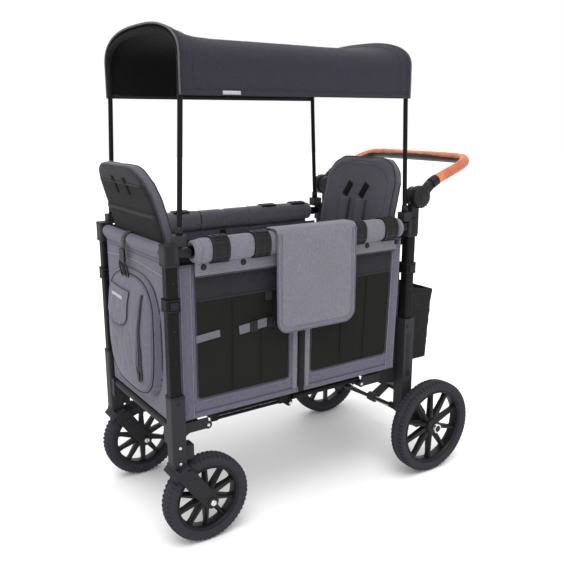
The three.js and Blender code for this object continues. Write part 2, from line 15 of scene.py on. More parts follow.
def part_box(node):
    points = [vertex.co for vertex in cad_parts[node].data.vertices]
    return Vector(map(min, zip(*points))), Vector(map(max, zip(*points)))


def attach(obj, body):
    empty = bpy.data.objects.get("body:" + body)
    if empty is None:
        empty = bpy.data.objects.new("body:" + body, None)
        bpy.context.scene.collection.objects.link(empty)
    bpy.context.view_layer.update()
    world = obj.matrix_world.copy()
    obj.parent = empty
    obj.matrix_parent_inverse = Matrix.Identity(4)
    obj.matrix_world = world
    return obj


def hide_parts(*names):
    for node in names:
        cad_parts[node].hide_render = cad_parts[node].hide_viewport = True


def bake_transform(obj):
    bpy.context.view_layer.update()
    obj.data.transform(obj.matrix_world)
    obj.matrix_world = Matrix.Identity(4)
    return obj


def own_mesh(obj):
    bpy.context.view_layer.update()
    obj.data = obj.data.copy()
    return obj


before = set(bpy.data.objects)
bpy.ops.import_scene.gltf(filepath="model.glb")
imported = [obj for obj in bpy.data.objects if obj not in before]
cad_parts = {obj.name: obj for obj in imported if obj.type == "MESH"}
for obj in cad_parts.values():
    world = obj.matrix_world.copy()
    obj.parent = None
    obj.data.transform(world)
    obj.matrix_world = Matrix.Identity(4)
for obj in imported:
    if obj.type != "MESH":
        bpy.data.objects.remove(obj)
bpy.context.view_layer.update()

# ---------------------------------------------------------------- places taken from the frame
FRONT_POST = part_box("front_post_near")
REAR_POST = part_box("rear_post_near")
MIDDLE_X = (FRONT_POST[0].x + REAR_POST[1].x) / 2
MM = 0.001
SIDES = (("near", -1), ("far", 1))
ENDS = (("front", -1), ("rear", 1))


def at(x, y, z):
    """A point given from the middle between the posts."""
    return Vector((MIDDLE_X + x, y, z))


# ---------------------------------------------------------------- camera, light and floor
CAMERA_AT = (-0.9885, -1.5927, 1.0173)
CAMERA_YAW = math.radians(56.326)
CAMERA_PITCH = math.radians(-13.449)
CAMERA_LENS = 44.81


def make_camera():
    data = bpy.data.cameras.new("camera")
    data.lens = CAMERA_LENS
    data.sensor_width = 36
    camera = bpy.data.objects.new("camera", data)
    bpy.context.scene.collection.objects.link(camera)
    camera.location = at(*CAMERA_AT)
    look = Vector((math.cos(CAMERA_PITCH) * math.cos(CAMERA_YAW),
                   math.cos(CAMERA_PITCH) * math.sin(CAMERA_YAW),
                   math.sin(CAMERA_PITCH)))
    camera.rotation_euler = look.to_track_quat("-Z", "Y").to_euler()
    bpy.context.scene.camera = camera


def area_light(name, place, target, size, power, tint=(1, 1, 1)):
    data = bpy.data.lights.new(name, "AREA")
    data.shape = "RECTANGLE"
    data.size, data.size_y = size
    data.energy = power
    data.color = tint
    light = bpy.data.objects.new(name, data)
    bpy.context.scene.collection.objects.link(light)
    light.location = place
    light.rotation_euler = (Vector(target) - Vector(place)).to_track_quat("-Z", "Y").to_euler()


def make_studio():
    world = bpy.data.worlds.new("studio")
    bpy.context.scene.world = world
    world.use_nodes = True
    background = world.node_tree.nodes["Background"]
    background.inputs["Color"].default_value = (1, 1, 1, 1)
    background.inputs["Strength"].default_value = 1.0
    area_light("key", (-1.2, -2.2, 2.6), (0, 0, 0.6), (1.6, 1.2), 16)
    area_light("back", (1.4, 2.6, 2.4), (0, 0, 0.7), (2.0, 1.4), 14)
    sun = bpy.data.lights.new("top", "SUN")
    sun.energy = 1.5
    sun.angle = math.radians(38)
    overhead = bpy.data.objects.new("top", sun)
    overhead.rotation_euler = (math.radians(14), math.radians(-12), 0)
    bpy.context.scene.collection.objects.link(overhead)
    bpy.context.scene.view_settings.view_transform = "Standard"
    mesh = bpy.data.meshes.new("floor")
    size = 14
    mesh.from_pydata([(-size, -size, 0), (size, -size, 0), (size, size, 0), (-size, size, 0)],
                     [], [(0, 1, 2, 3)])
    floor = bpy.data.objects.new("floor", mesh)
    floor.location.z = -0.0005
    bpy.context.scene.collection.objects.link(floor)
    material = bpy.data.materials.new("floor")
    material.use_nodes = True
    shader = material.node_tree.nodes["Principled BSDF"]
    shader.inputs["Base Color"].default_value = (0.93, 0.93, 0.93, 1)
    shader.inputs["Roughness"].default_value = 0.85
    mesh.materials.append(material)


# ---------------------------------------------------------------- materials
class Finish:
    """A Principled material under construction, with short calls for its nodes."""

    def __init__(self, name):
        self.material = bpy.data.materials.new(name)
        self.material.use_nodes = True
        self.tree = self.material.node_tree
        self.shader = self.tree.nodes["Principled BSDF"]
        coordinates = self.tree.nodes.new("ShaderNodeTexCoord")
        self.place = coordinates.outputs["Object"]

    def set(self, socket, value):
        self.shader.inputs[socket].default_value = value

    def node(self, kind, inputs=(), **settings):
        made = self.tree.nodes.new(kind)
        for key, value in settings.items():
            setattr(made, key, value)
        for key, value in dict(inputs).items():
            if isinstance(value, bpy.types.NodeSocket):
                self.tree.links.new(value, made.inputs[key])
            else:
                made.inputs[key].default_value = value
        return made

    def noise(self, scale, detail=3.0, roughness=0.55, vector=None):
        made = self.node("ShaderNodeTexNoise", {
            "Vector": vector or self.place, "Scale": scale, "Detail": detail, "Roughness": roughness})
        return made.outputs["Fac"]

    def voronoi(self, scale, feature="F1"):
        made = self.node("ShaderNodeTexVoronoi", {"Vector": self.place, "Scale": scale}, feature=feature)
        return made.outputs["Distance"]

    def turned(self, rotation, scale=(1, 1, 1)):
        made = self.node("ShaderNodeMapping", {"Vector": self.place, "Rotation": rotation, "Scale": scale})
        return made.outputs["Vector"]

    def bands(self, period, vector=None, direction="X", distortion=0.0):
        # a wave texture of scale 1 repeats every pi / 10
        made = self.node("ShaderNodeTexWave", {
            "Vector": vector or self.place, "Scale": math.pi / 10 / period, "Distortion": distortion,
            "Detail": 1.0}, wave_type="BANDS", bands_direction=direction)
        return made.outputs["Fac"]

    def math(self, operation, a, b=0.0):
        made = self.tree.nodes.new("ShaderNodeMath")
        made.operation = operation
        for socket, value in zip(made.inputs, (a, b)):
            if isinstance(value, bpy.types.NodeSocket):
                self.tree.links.new(value, socket)
            else:
                socket.default_value = value
        return made.outputs["Value"]

    def ramp(self, factor, stops):
        made = self.node("ShaderNodeValToRGB", {"Fac": factor})
        elements = made.color_ramp.elements
        while len(elements) < len(stops):
            elements.new(0.5)
        for element, (position, colour) in zip(elements, stops):
            element.position = position
            element.color = (*colour, 1)
        return made.outputs["Color"]

    def mix(self, factor, a, b, blend="MIX"):
        made = self.tree.nodes.new("ShaderNodeMix")
        made.data_type = "RGBA"
        made.blend_type = blend
        for key, value in (("Factor", factor), ("A", a), ("B", b)):
            socket = next(s for s in made.inputs if s.name == key and s.enabled)
            if isinstance(value, bpy.types.NodeSocket):
                self.tree.links.new(value, socket)
            elif key == "Factor":
                socket.default_value = value
            else:
                socket.default_value = (*value, 1)
        return next(s for s in made.outputs if s.enabled)

    def colour(self, socket):
        self.tree.links.new(socket, self.shader.inputs["Base Color"])

    def roughness(self, factor, low, high):
        made = self.node("ShaderNodeMapRange", {"Value": factor, "To Min": low, "To Max": high})
        self.tree.links.new(made.outputs["Result"], self.shader.inputs["Roughness"])

    def bump(self, height, depth, strength=1.0):
        """depth is the bump's full height, in metres."""
        inputs = {"Height": height, "Distance": depth, "Strength": strength}
        previous = self.shader.inputs["Normal"]
        if previous.is_linked:
            inputs["Normal"] = previous.links[0].from_socket
        made = self.node("ShaderNodeBump", inputs)
        self.tree.links.new(made.outputs["Normal"], previous)


def rgb(code):
    """A hex display colour as linear values."""
    values = [int(code[i:i + 2], 16) / 255 for i in (0, 2, 4)]
    return tuple(v / 12.92 if v <= 0.04045 else ((v + 0.055) / 1.055) ** 2.4 for v in values)


def woven(name, dark, light, thread=1.1 * MM, contrast=1.0, roughness=0.92, sheen=0.25):
    """Woven cloth: crossed threads, melange flecks and slow shading."""
    finish = Finish(name)
    warp = finish.bands(thread, finish.turned((0, 0, math.radians(45))), "X")
    weft = finish.bands(thread, None, "Z")
    threads = finish.math("MULTIPLY", warp, weft)
    stretched = finish.turned((0, 0, 0), (1, 1, 3.2))
    flecks = finish.noise(520, 2.0, 0.7, stretched)
    slubs = finish.noise(150, 3.0, 0.65, finish.turned((0, 0, 0), (3.0, 3.0, 1)))
    slow = finish.noise(9, 2.0)
    speck = finish.math("ADD", finish.math("MULTIPLY", flecks, 0.55), finish.math("MULTIPLY", slubs, 0.45))
    middle = 0.5
    spread = 0.13 * contrast
    base = finish.ramp(speck, [(middle - spread, dark), (middle + spread, light)])
    shaded = finish.mix(finish.math("MULTIPLY", threads, 0.16), base, tuple(c * 1.35 for c in light))
    finish.colour(finish.mix(finish.math("MULTIPLY", slow, 0.25), shaded, tuple(c * 0.7 for c in dark)))
    finish.roughness(flecks, roughness - 0.08, min(1.0, roughness + 0.06))
    finish.bump(threads, 0.35 * MM)
    finish.bump(slubs, 0.25 * MM)
    finish.set("Sheen Weight", sheen)
    finish.set("Sheen Roughness", 0.5)
    finish.set("Specular IOR Level", 0.25)
    return finish.material


def netting(name, dark, light, cell=2.0 * MM):
    """Warp-knit mesh: round holes between pale edges of yarn."""
    finish = Finish(name)
    holes = finish.voronoi(1 / cell)
    slow = finish.noise(12, 2.0)
    base = finish.ramp(holes, [(0.25, dark), (0.7, light)])
    finish.colour(finish.mix(finish.math("MULTIPLY", slow, 0.3), base, tuple(c * 1.6 for c in light)))
    finish.bump(holes, 0.6 * MM)
    finish.roughness(holes, 0.65, 0.95)
    finish.set("Specular IOR Level", 0.2)
    finish.set("Sheen Weight", 0.0)
    return finish.material


def webbing(name, dark, light, rib=1.6 * MM, direction="Z"):
    finish = Finish(name)
    ribs = finish.bands(rib, None, direction)
    flecks = finish.noise(700, 2.0)
    finish.colour(finish.mix(ribs, dark, light))
    finish.roughness(flecks, 0.6, 0.85)
    finish.bump(ribs, 0.4 * MM)
    finish.bump(flecks, 0.1 * MM)
    finish.set("Sheen Weight", 0.1)
    return finish.material


def moulded(name, colour, roughness=0.5, grain=0.12 * MM, tint=0.15):
    """Textured plastic: fine spark-eroded grain, slow mottling and rubbed edges."""
    finish = Finish(name)
    fine = finish.noise(1400, 3.0, 0.6)
    slow = finish.noise(24, 3.0)
    pale = tuple(min(1.0, c * 1.7 + 0.01) for c in colour)
    base = finish.mix(finish.math("MULTIPLY", slow, tint), colour, pale)
    edge = finish.node("ShaderNodeNewGeometry").outputs["Pointiness"]
    worn = finish.ramp(edge, [(0.52, (0, 0, 0)), (0.62, (0.35, 0.35, 0.35))])
    finish.colour(finish.mix(worn, base, tuple(min(1.0, c * 2.2 + 0.02) for c in colour)))
    finish.roughness(fine, roughness - 0.08, roughness + 0.1)
    finish.bump(fine, grain)
    finish.set("Specular IOR Level", 0.25)
    return finish.material


def coated(name, colour, roughness=0.36):
    """Powder-coated tube: orange peel, dust and a soft clear gloss."""
    finish = Finish(name)
    peel = finish.noise(420, 2.0)
    dust = finish.noise(60, 4.0, 0.7)
    pale = tuple(min(1.0, c * 1.9 + 0.006) for c in colour)
    finish.colour(finish.mix(finish.math("MULTIPLY", dust, 0.3), colour, pale))
    finish.roughness(dust, roughness - 0.08, roughness + 0.14)
    finish.bump(peel, 0.06 * MM)
    finish.set("Specular IOR Level", 0.14)
    finish.set("Coat Weight", 0.02)
    finish.set("Coat Roughness", 0.25)
    return finish.material


def leather(name, dark, light):
    finish = Finish(name)
    cells = finish.voronoi(620)
    creases = finish.noise(210, 6.0, 0.7)
    slow = finish.noise(16, 3.0)
    base = finish.ramp(slow, [(0.3, dark), (0.7, light)])
    pores = finish.ramp(cells, [(0.0, (0.55, 0.55, 0.55)), (0.35, (1, 1, 1))])
    finish.colour(finish.mix(0.6, base, pores, "MULTIPLY"))
    finish.roughness(creases, 0.34, 0.6)
    finish.bump(cells, 0.22 * MM)
    finish.bump(creases, 0.35 * MM)
    finish.set("Coat Weight", 0.12)
    finish.set("Coat Roughness", 0.35)
    return finish.material


def rubber(name, colour):
    finish = Finish(name)
    dust = finish.noise(45, 5.0, 0.7)
    fine = finish.noise(1100, 2.0)
    finish.colour(finish.mix(finish.math("MULTIPLY", dust, 0.5), colour,
                             tuple(c * 1.8 + 0.01 for c in colour)))
    finish.roughness(dust, 0.72, 0.95)
    finish.set("Specular IOR Level", 0.25)
    finish.bump(fine, 0.12 * MM)
    return finish.material


def steel(name):
    finish = Finish(name)
    brushed = finish.noise(90, 3.0, 0.5, finish.turned((0, 0, 0), (1, 1, 14)))
    finish.colour(finish.ramp(brushed, [(0.2, (0.5, 0.5, 0.52)), (0.8, (0.8, 0.8, 0.82))]))
    finish.roughness(brushed, 0.18, 0.38)
    finish.set("Metallic", 1.0)
    return finish.material


GREY = woven("grey_melange", rgb("403e4a"), rgb("69667a"))
GREY_SEAT = woven("grey_seat_cloth", rgb("42404b"), rgb("64616d"))
GREY_LIGHT = woven("grey_melange_light", rgb("5a5861"), rgb("807e89"))
GREY_DARK = woven("grey_dark_band", rgb("19181d"), rgb("2b2a32"), 1.1 * MM, 1.0, 0.94, 0.08)
CANOPY = woven("canopy_cloth", rgb("23222b"), rgb("31303c"), 0.8 * MM, 0.8, 0.9, 0.05)
BLACK_CLOTH = woven("black_cloth", rgb("101010"), rgb("1f1f1e"), 0.9 * MM, 0.8, 0.95, 0.03)
LINING = woven("canopy_lining", rgb("0b0908"), rgb("151312"), 0.9 * MM, 0.8, 0.97, 0.0)
NET = netting("black_net", rgb("040403"), rgb("161612"))
WEB = webbing("black_webbing", rgb("121212"), rgb("2a2a2c"))
WEB_GREY = webbing("grey_webbing", rgb("4b4b52"), rgb("6d6c76"))
PIPING = woven("piping", rgb("1c1c20"), rgb("34333a"), 0.7 * MM)
PIPING_PALE = woven("piping_pale", rgb("6b6a72"), rgb("9a98a0"), 0.7 * MM)
PIPING_PALE_DARK = woven("piping_slate", rgb("45444d"), rgb("5e5d68"), 0.7 * MM)
THREAD = webbing("thread", rgb("8d8b96"), rgb("b5b3bd"), 0.5 * MM)
THREAD_DARK = webbing("thread_dark", rgb("1e1e22"), rgb("33333a"), 0.5 * MM)
TUBE = coated("powder_coat", rgb("080605"), 0.55)
CASTING = moulded("slate_plastic", rgb("16161b"), 0.58)
BLACK_PLASTIC = moulded("black_plastic", rgb("0d0d0e"), 0.5)
RIM = moulded("rim_plastic", rgb("0a090a"), 0.48, 0.05 * MM)
TYRE = rubber("tyre_rubber", rgb("24232b"))
LEATHER = leather("tan_leather", rgb("a4502f"), rgb("cf7848"))
LEATHER_DARK = leather("dark_leather", rgb("1c1413"), rgb("33231f"))
STEEL = steel("zinc")
REFLECTIVE = webbing("reflective_tape", rgb("9a9aa0"), rgb("c4c4ca"), 1.2 * MM)


# ---------------------------------------------------------------- mesh building
def new_object(name, vertices, faces, material, smooth=True):
    mesh = bpy.data.meshes.new(name)
    mesh.from_pydata([tuple(v) for v in vertices], [], faces)
    mesh.validate()
    made = bpy.data.objects.new(name, mesh)
    bpy.context.scene.collection.objects.link(made)
    mesh.materials.append(material)
    for polygon in mesh.polygons:
        polygon.use_smooth = smooth
    return made


def outward(made):
    """Turns the faces of a closed mesh outward."""
    work = bmesh.new()
    work.from_mesh(made.data)
    bmesh.ops.recalc_face_normals(work, faces=work.faces)
    work.to_mesh(made.data)
    work.free()
    return made


def modifier(made, kind, **settings):
    added = made.modifiers.new(kind.lower(), kind)
    for key, value in settings.items():
        setattr(added, key, value)
    return added


def apply_modifiers(made):
    graph = bpy.context.evaluated_depsgraph_get()
    baked = bpy.data.meshes.new_from_object(made.evaluated_get(graph))
    made.modifiers.clear()
    made.data = baked
    return made


def soften(made, width, segments=3, angle=40):
    """Rounds the edges of a hard piece."""
    modifier(made, "BEVEL", width=width, segments=segments, limit_method="ANGLE",
             angle_limit=math.radians(angle), use_clamp_overlap=True, harden_normals=False)
    return made


def smooth_line(points, count, closed=False):
    """count points spread evenly along a smooth curve through the given ones."""
    knots = np.array([tuple(p) for p in points], float)
    if closed:
        knots = np.vstack([knots[-1:], knots, knots[:2]])
    else:
        knots = np.vstack([2 * knots[0] - knots[1], knots, 2 * knots[-1] - knots[-2]])
    dense = []
    steps = 24
    for i in range(1, len(knots) - 2):
        p0, p1, p2, p3 = knots[i - 1:i + 3]
        for k in range(steps):
            t = k / steps
            dense.append(0.5 * (2 * p1 + (p2 - p0) * t + (2 * p0 - 5 * p1 + 4 * p2 - p3) * t * t
                                + (3 * p1 - p0 - 3 * p2 + p3) * t ** 3))
    dense.append(knots[-2])
    return even_line(dense, count, closed)


def even_line(points, count, closed=False):
    """count points spread evenly along straight stretches between the given ones."""
    dense = np.array([tuple(p) for p in points], float)
    if closed and np.linalg.norm(dense[0] - dense[-1]) > 1e-9:
        dense = np.vstack([dense, dense[:1]])
    lengths = np.concatenate([[0], np.cumsum(np.linalg.norm(np.diff(dense, axis=0), axis=1))])
    wanted = np.linspace(0, lengths[-1], count + 1)[:-1] if closed else np.linspace(0, lengths[-1], count)
    return [Vector([np.interp(w, lengths, dense[:, k]) for k in range(3)]) for w in wanted]


def frames_along(points, closed=False):
    """A tangent and two normals at each point, turned as little as possible along the way."""
    count = len(points)
    tangents = []
    for i in range(count):
        before = points[i - 1] if closed or i > 0 else points[i]
        after = points[(i + 1) % count] if closed or i < count - 1 else points[i]
        tangents.append((after - before).normalized())
    start = Vector((0, 0, 1)) if abs(tangents[0].z) < 0.9 else Vector((1, 0, 0))
    normal = (start - tangents[0] * start.dot(tangents[0])).normalized()
    result = []
    for tangent in tangents:
        normal = (normal - tangent * normal.dot(tangent)).normalized()
        result.append((tangent, normal, tangent.cross(normal)))
    return result


def sweep(name, points, section, material, closed=False, up=None):
    """A closed section of (a, b) offsets carried along the points. With up, b points along it."""
    faces, vertices = [], []
    count, sides = len(points), len(section)
    for point, (tangent, normal, side) in zip(points, frames_along(points, closed)):
        if up is not None:
            side = tangent.cross(Vector(up)).normalized()
            normal = side.cross(tangent).normalized()
        vertices += [point + side * a + normal * b for a, b in section]
    for i in range(count if closed else count - 1):
        j = (i + 1) % count
        for k in range(sides):
            m = (k + 1) % sides
            faces.append((i * sides + k, i * sides + m, j * sides + m, j * sides + k))
    if not closed:
        faces.append(tuple(range(sides)))
        faces.append(tuple(range((count - 1) * sides, count * sides)))
    return outward(new_object(name, vertices, faces, material))


def circle(radius, sides=12):
    turns = [2 * math.pi * k / sides for k in range(sides)]
    return [(radius * math.cos(t), radius * math.sin(t)) for t in turns]


def rounded(width, height, radius, steps=3):
    """Points of a rounded rectangle around the origin."""
    points = []
    for cx, cy, start in ((1, 1, 0), (-1, 1, 90), (-1, -1, 180), (1, -1, 270)):
        for k in range(steps + 1):
            turn = math.radians(start + 90 * k / steps)
            points.append((cx * (width / 2 - radius) + radius * math.cos(turn),
                           cy * (height / 2 - radius) + radius * math.sin(turn)))
    return points


def lathe(name, profile, centre, axis, material, segments=48):
    """A profile of (radius, height along the axis) turned around the axis. Radius 0 closes an end."""
    along = Vector(axis).normalized()
    across = along.orthogonal().normalized()
    other = along.cross(across)
    vertices, faces, rings = [], [], []
    for radius, height in profile:
        middle = Vector(centre) + along * height
        if radius < 1e-7:
            rings.append([len(vertices)])
            vertices.append(middle)
            continue
        ring = []
        for k in range(segments):
            turn = 2 * math.pi * k / segments
            ring.append(len(vertices))
            vertices.append(middle + (across * math.cos(turn) + other * math.sin(turn)) * radius)
        rings.append(ring)
    for low, high in zip(rings, rings[1:]):
        for k in range(segments):
            m = (k + 1) % segments
            if len(low) == 1:
                faces.append((low[0], high[k], high[m]))
            elif len(high) == 1:
                faces.append((low[k], low[m], high[0]))
            else:
                faces.append((low[k], low[m], high[m], high[k]))
    return outward(new_object(name, vertices, faces, material))


def grid_sheet(name, columns, rows, place, material, closed_u=False):
    """A sheet whose vertex (i, j) is place(u, v), with u and v from 0 to 1."""
    vertices = [place(i / columns, j / rows) for j in range(rows + 1) for i in range(columns + 1)]
    faces = []
    for j in range(rows):
        for i in range(columns):
            a = j * (columns + 1) + i
            faces.append((a, a + 1, a + columns + 2, a + columns + 1))
    made = new_object(name, vertices, faces, material)
    if closed_u:
        work = bmesh.new()
        work.from_mesh(made.data)
        bmesh.ops.remove_doubles(work, verts=work.verts, dist=1e-6)
        work.to_mesh(made.data)
        work.free()
    return made


def plate(name, points, thickness, centre, normal, up, material, round_edge=0.0015):
    """An outline of (right, up) offsets made into a plate whose middle lies at centre."""
    facing = Vector(normal).normalized()
    upward = (Vector(up) - facing * facing.dot(Vector(up))).normalized()
    right = upward.cross(facing)
    count = len(points)
    vertices = []
    for level in (-thickness / 2, thickness / 2):
        vertices += [Vector(centre) + right * a + upward * b + facing * level for a, b in points]
    faces = [tuple(range(count)), tuple(range(count, 2 * count))]
    faces += [(k, (k + 1) % count, count + (k + 1) % count, count + k) for k in range(count)]
    made = outward(new_object(name, vertices, faces, material, smooth=False))
    return soften(made, round_edge) if round_edge else made


def join(name, pieces):
    """Several meshes as one piece, keeping each one's material."""
    vertices, faces, slots, materials, smooth = [], [], [], [], []
    graph = bpy.context.evaluated_depsgraph_get()
    graph.update()
    for piece in pieces:
        mesh = bpy.data.meshes.new_from_object(piece.evaluated_get(graph))
        material = piece.data.materials[0]
        if material not in materials:
            materials.append(material)
        start = len(vertices)
        vertices += [piece.matrix_world @ v.co for v in mesh.vertices]
        for polygon in mesh.polygons:
            faces.append(tuple(start + v for v in polygon.vertices))
            slots.append(materials.index(material))
            smooth.append(polygon.use_smooth)
        bpy.data.meshes.remove(mesh)
        bpy.data.objects.remove(piece)
    made = new_object(name, vertices, faces, materials[0])
    for extra in materials[1:]:
        made.data.materials.append(extra)
    made.data.polygons.foreach_set("material_index", slots)
    made.data.polygons.foreach_set("use_smooth", smooth)
    made.data.update()
    return made


def stitches(name, points, material=None, length=3.2 * MM, gap=1.6 * MM, radius=0.42 * MM, closed=False):
    """A row of stitches along a line."""
    line = np.array([tuple(p) for p in points])
    total = float(np.linalg.norm(np.diff(line, axis=0), axis=1).sum())
    count = max(3, int(total / (length + gap)))
    spots = even_line(points, count, closed)
    vertices, faces = [], []
    for a, b in zip(spots, spots[1:]):
        along = (b - a).normalized()
        start = a
        end = a + along * length
        side = along.orthogonal().normalized()
        other = along.cross(side)
        base = len(vertices)
        ring = ((1, 0), (0, 1), (-1, 0), (0, -1))
        vertices += [start + (side * p + other * q) * radius for p, q in ring]
        vertices += [end + (side * p + other * q) * radius for p, q in ring]
        faces += [(base + k, base + (k + 1) % 4, base + 4 + (k + 1) % 4, base + 4 + k) for k in range(4)]
        faces += [tuple(base + k for k in (3, 2, 1, 0)), tuple(base + 4 + k for k in range(4))]
    return new_object(name, vertices, faces, material or THREAD)


make_camera()
make_studio()


# ---------------------------------------------------------------- soft bodies
def padding(made, voxel, pressure, limit):
    """Turns a closed solid into a filled cover: even faces, then a short inflation of the cloth."""
    modifier(made, "REMESH", mode="VOXEL", voxel_size=voxel)
    apply_modifiers(made)
    modifier(made, "SMOOTH", factor=0.5, iterations=3)
    apply_modifiers(made)
    start = np.array([v.co for v in made.data.vertices])
    cloth = modifier(made, "CLOTH")
    cloth.settings.use_pressure = True
    cloth.settings.uniform_pressure_force = pressure
    cloth.settings.effector_weights.gravity = 0
    cloth.settings.quality = 5
    cloth.settings.tension_stiffness = 25
    cloth.settings.compression_stiffness = 25
    cloth.settings.bending_stiffness = 0.6
    cloth.point_cache.frame_start = 1
    cloth.point_cache.frame_end = 20
    scene = bpy.context.scene
    for step in range(1, 21):
        scene.frame_set(step)
        graph = bpy.context.evaluated_depsgraph_get()
        shown = made.evaluated_get(graph).data
    moved = np.array([v.co for v in shown.vertices])
    made.modifiers.clear()
    shift = moved - start
    lengths = np.linalg.norm(shift, axis=1)
    shift *= np.minimum(1, limit / np.maximum(lengths, 1e-9))[:, None]
    made.data.vertices.foreach_set("co", (start + shift).ravel())
    made.data.update()
    scene.frame_set(1)
    for polygon in made.data.polygons:
        polygon.use_smooth = True
    return made


def displaced(made, shift):
    """Moves every vertex by shift(position, normal)."""
    normals = [v.normal.copy() for v in made.data.vertices]
    for vertex, normal in zip(made.data.vertices, normals):
        vertex.co = vertex.co + shift(vertex.co, normal)
    made.data.update()
    return made


def subdivided(made):
    modifier(made, "SUBSURF", levels=1, render_levels=1)
    return apply_modifiers(made)


def paint(made, chooser, materials):
    """Gives each face the material that chooser(centre, normal) names by number."""
    made.data.materials.clear()
    for material in materials:
        made.data.materials.append(material)
    for polygon in made.data.polygons:
        polygon.material_index = chooser(polygon.center, polygon.normal)
    return made


def wrinkle(position, size, seed=0.0):
    """Smooth noise from -1 to 1."""
    return noise.noise(Vector(position) / size + Vector((seed, seed * 1.7, seed * 0.6)))


def creased(position, across, size, seed=0.0):
    """Noise drawn out into creases that run across the given stretch factors."""
    stretched = Vector((position.x / across[0], position.y / across[1], position.z / across[2]))
    return 1 - 2 * abs(noise.noise(stretched / size + Vector((seed, seed, seed))))


def folds(made):
    """Rides on the rear frame."""
    apply_modifiers(made)
    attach(made, "rear_frame")
    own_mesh(made)
    return made


# ---------------------------------------------------------------- canopy
CANOPY_HALF = 0.3265
CANOPY_OUT = 0.216
CANOPY_LOW = 1.057
CANOPY_SPRING = 1.139
CANOPY_RISE = 0.0745
CANOPY_LIFT = {-1: 0.001, 1: -0.010}
CANOPY_SAG = {-1: 0.026, 1: 0.020}
HOOP_X = 0.320


def canopy_section(count=64):
    skirt = [(-CANOPY_OUT, CANOPY_LOW + (CANOPY_SPRING - CANOPY_LOW) * k / 6) for k in range(6)]
    arch = []
    for k in range(49):
        turn = math.pi * k / 48
        # a boxy arch: flatter on top than an ellipse
        arch.append((-CANOPY_OUT * math.copysign(abs(math.cos(turn)) ** 0.78, math.cos(turn)),
                     CANOPY_SPRING + CANOPY_RISE * math.sin(turn) ** 0.88))
    outline = skirt + arch + [(-y, z) for y, z in reversed(skirt)]
    return [(p.x, p.y) for p in even_line([(y, z, 0) for y, z in outline], count + 1)]


CANOPY_COLUMNS = 72
CANOPY_ROWS = 84
CANOPY_LINE = canopy_section(CANOPY_ROWS)


def canopy_point(u, v, lift=0.0):
    """u runs along the wagon, v over the arch from the near side to the far side."""
    x = (2 * u - 1) * CANOPY_HALF
    place = min(max(v, 0), 1) * CANOPY_ROWS
    low = min(int(place), CANOPY_ROWS - 1)
    share = place - low
    y = CANOPY_LINE[low][0] * (1 - share) + CANOPY_LINE[low + 1][0] * share
    z = CANOPY_LINE[low][1] * (1 - share) + CANOPY_LINE[low + 1][1] * share
    from_hoop = max(0.0, HOOP_X - abs(x))
    slack = 1 - math.exp(-(from_hoop / 0.042) ** 1.3)
    height = (z - CANOPY_LOW) / (CANOPY_SPRING + CANOPY_RISE - CANOPY_LOW)
    along = 0.5 + x / (2 * CANOPY_HALF)
    z += (CANOPY_LIFT[-1] * (1 - along) + CANOPY_LIFT[1] * along) * height ** 2
    z -= (CANOPY_SAG[-1] * (1 - along) + CANOPY_SAG[1] * along) * slack * height ** 1.4
    y *= 1 - 0.022 * slack * math.sin(math.pi * min(1, height * 1.1)) * (1 if height < 0.9 else 0.4)
    here = Vector((x, y, z))
    ripple = 0.0016 * creased(here, (0.35, 1.6, 1.6), 0.06, 3.0) * slack
    ripple += 0.0012 * wrinkle(here, 0.09, 5.0)
    inward = -0.001 - 0.0006 * abs(ripple)
    scale = 1 + (lift + inward + min(0.0, ripple)) / 0.21
    return at(x, y * scale, CANOPY_LOW + (z - CANOPY_LOW) * (1 + (lift + ripple * 0.6) / 0.16 * height))


def make_canopy():
    cover = grid_sheet("canopy_cover", CANOPY_COLUMNS, CANOPY_ROWS, canopy_point, CANOPY)
    cover.data.materials.append(LINING)
    modifier(cover, "SOLIDIFY", thickness=1.3 * MM, offset=-1, material_offset=1, material_offset_rim=0)
    apply_modifiers(cover)
    outward(cover)
    paint(cover, lambda c, n: 1 if n.dot(Vector((0, c.y, (c.z - 1.02) * 2))) < 0 else 0,
          [CANOPY, LINING])
    folds(cover)
    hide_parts("canopy_fabric")
    extras = []
    for share in (0.0, 1.0):
        line = [canopy_point(share, k / 90, 0.0004) for k in range(91)]
        extras.append(sweep("canopy_piping", line, circle(2.1 * MM, 8), PIPING_PALE_DARK))
        inset = [canopy_point(abs(share - 0.014), k / 120, 0.0009) for k in range(121)]
        extras.append(stitches("canopy_stitch", inset, THREAD_DARK))
        inset = [canopy_point(abs(share - 0.052), k / 120, 0.0009) for k in range(121)]
        extras.append(stitches("canopy_stitch", inset, THREAD_DARK))
    for v in (0.0, 1.0):
        line = [canopy_point(k / 90, abs(v - 0.007), 0.0) for k in range(91)]
        extras.append(sweep("canopy_hem", line, rounded(3.0 * MM, 11 * MM, 1.3 * MM, 2), CANOPY,
                            up=(0, 0, 1)))
        line = [canopy_point(k / 120, abs(v - 0.018), 0.0018) for k in range(121)]
        extras.append(stitches("canopy_stitch", line, THREAD_DARK))
    # plain fold-over tab on the near hem
    tab = [canopy_point(u, 0.009, 0.0026) for u in np.linspace(0.155, 0.225, 12)]
    extras.append(sweep("hem_tab", tab, rounded(1.0 * MM, 8 * MM, 0.4 * MM, 1), REFLECTIVE, up=(0, 0, 1)))
    trim = join("canopy_trim", extras)
    folds(trim)


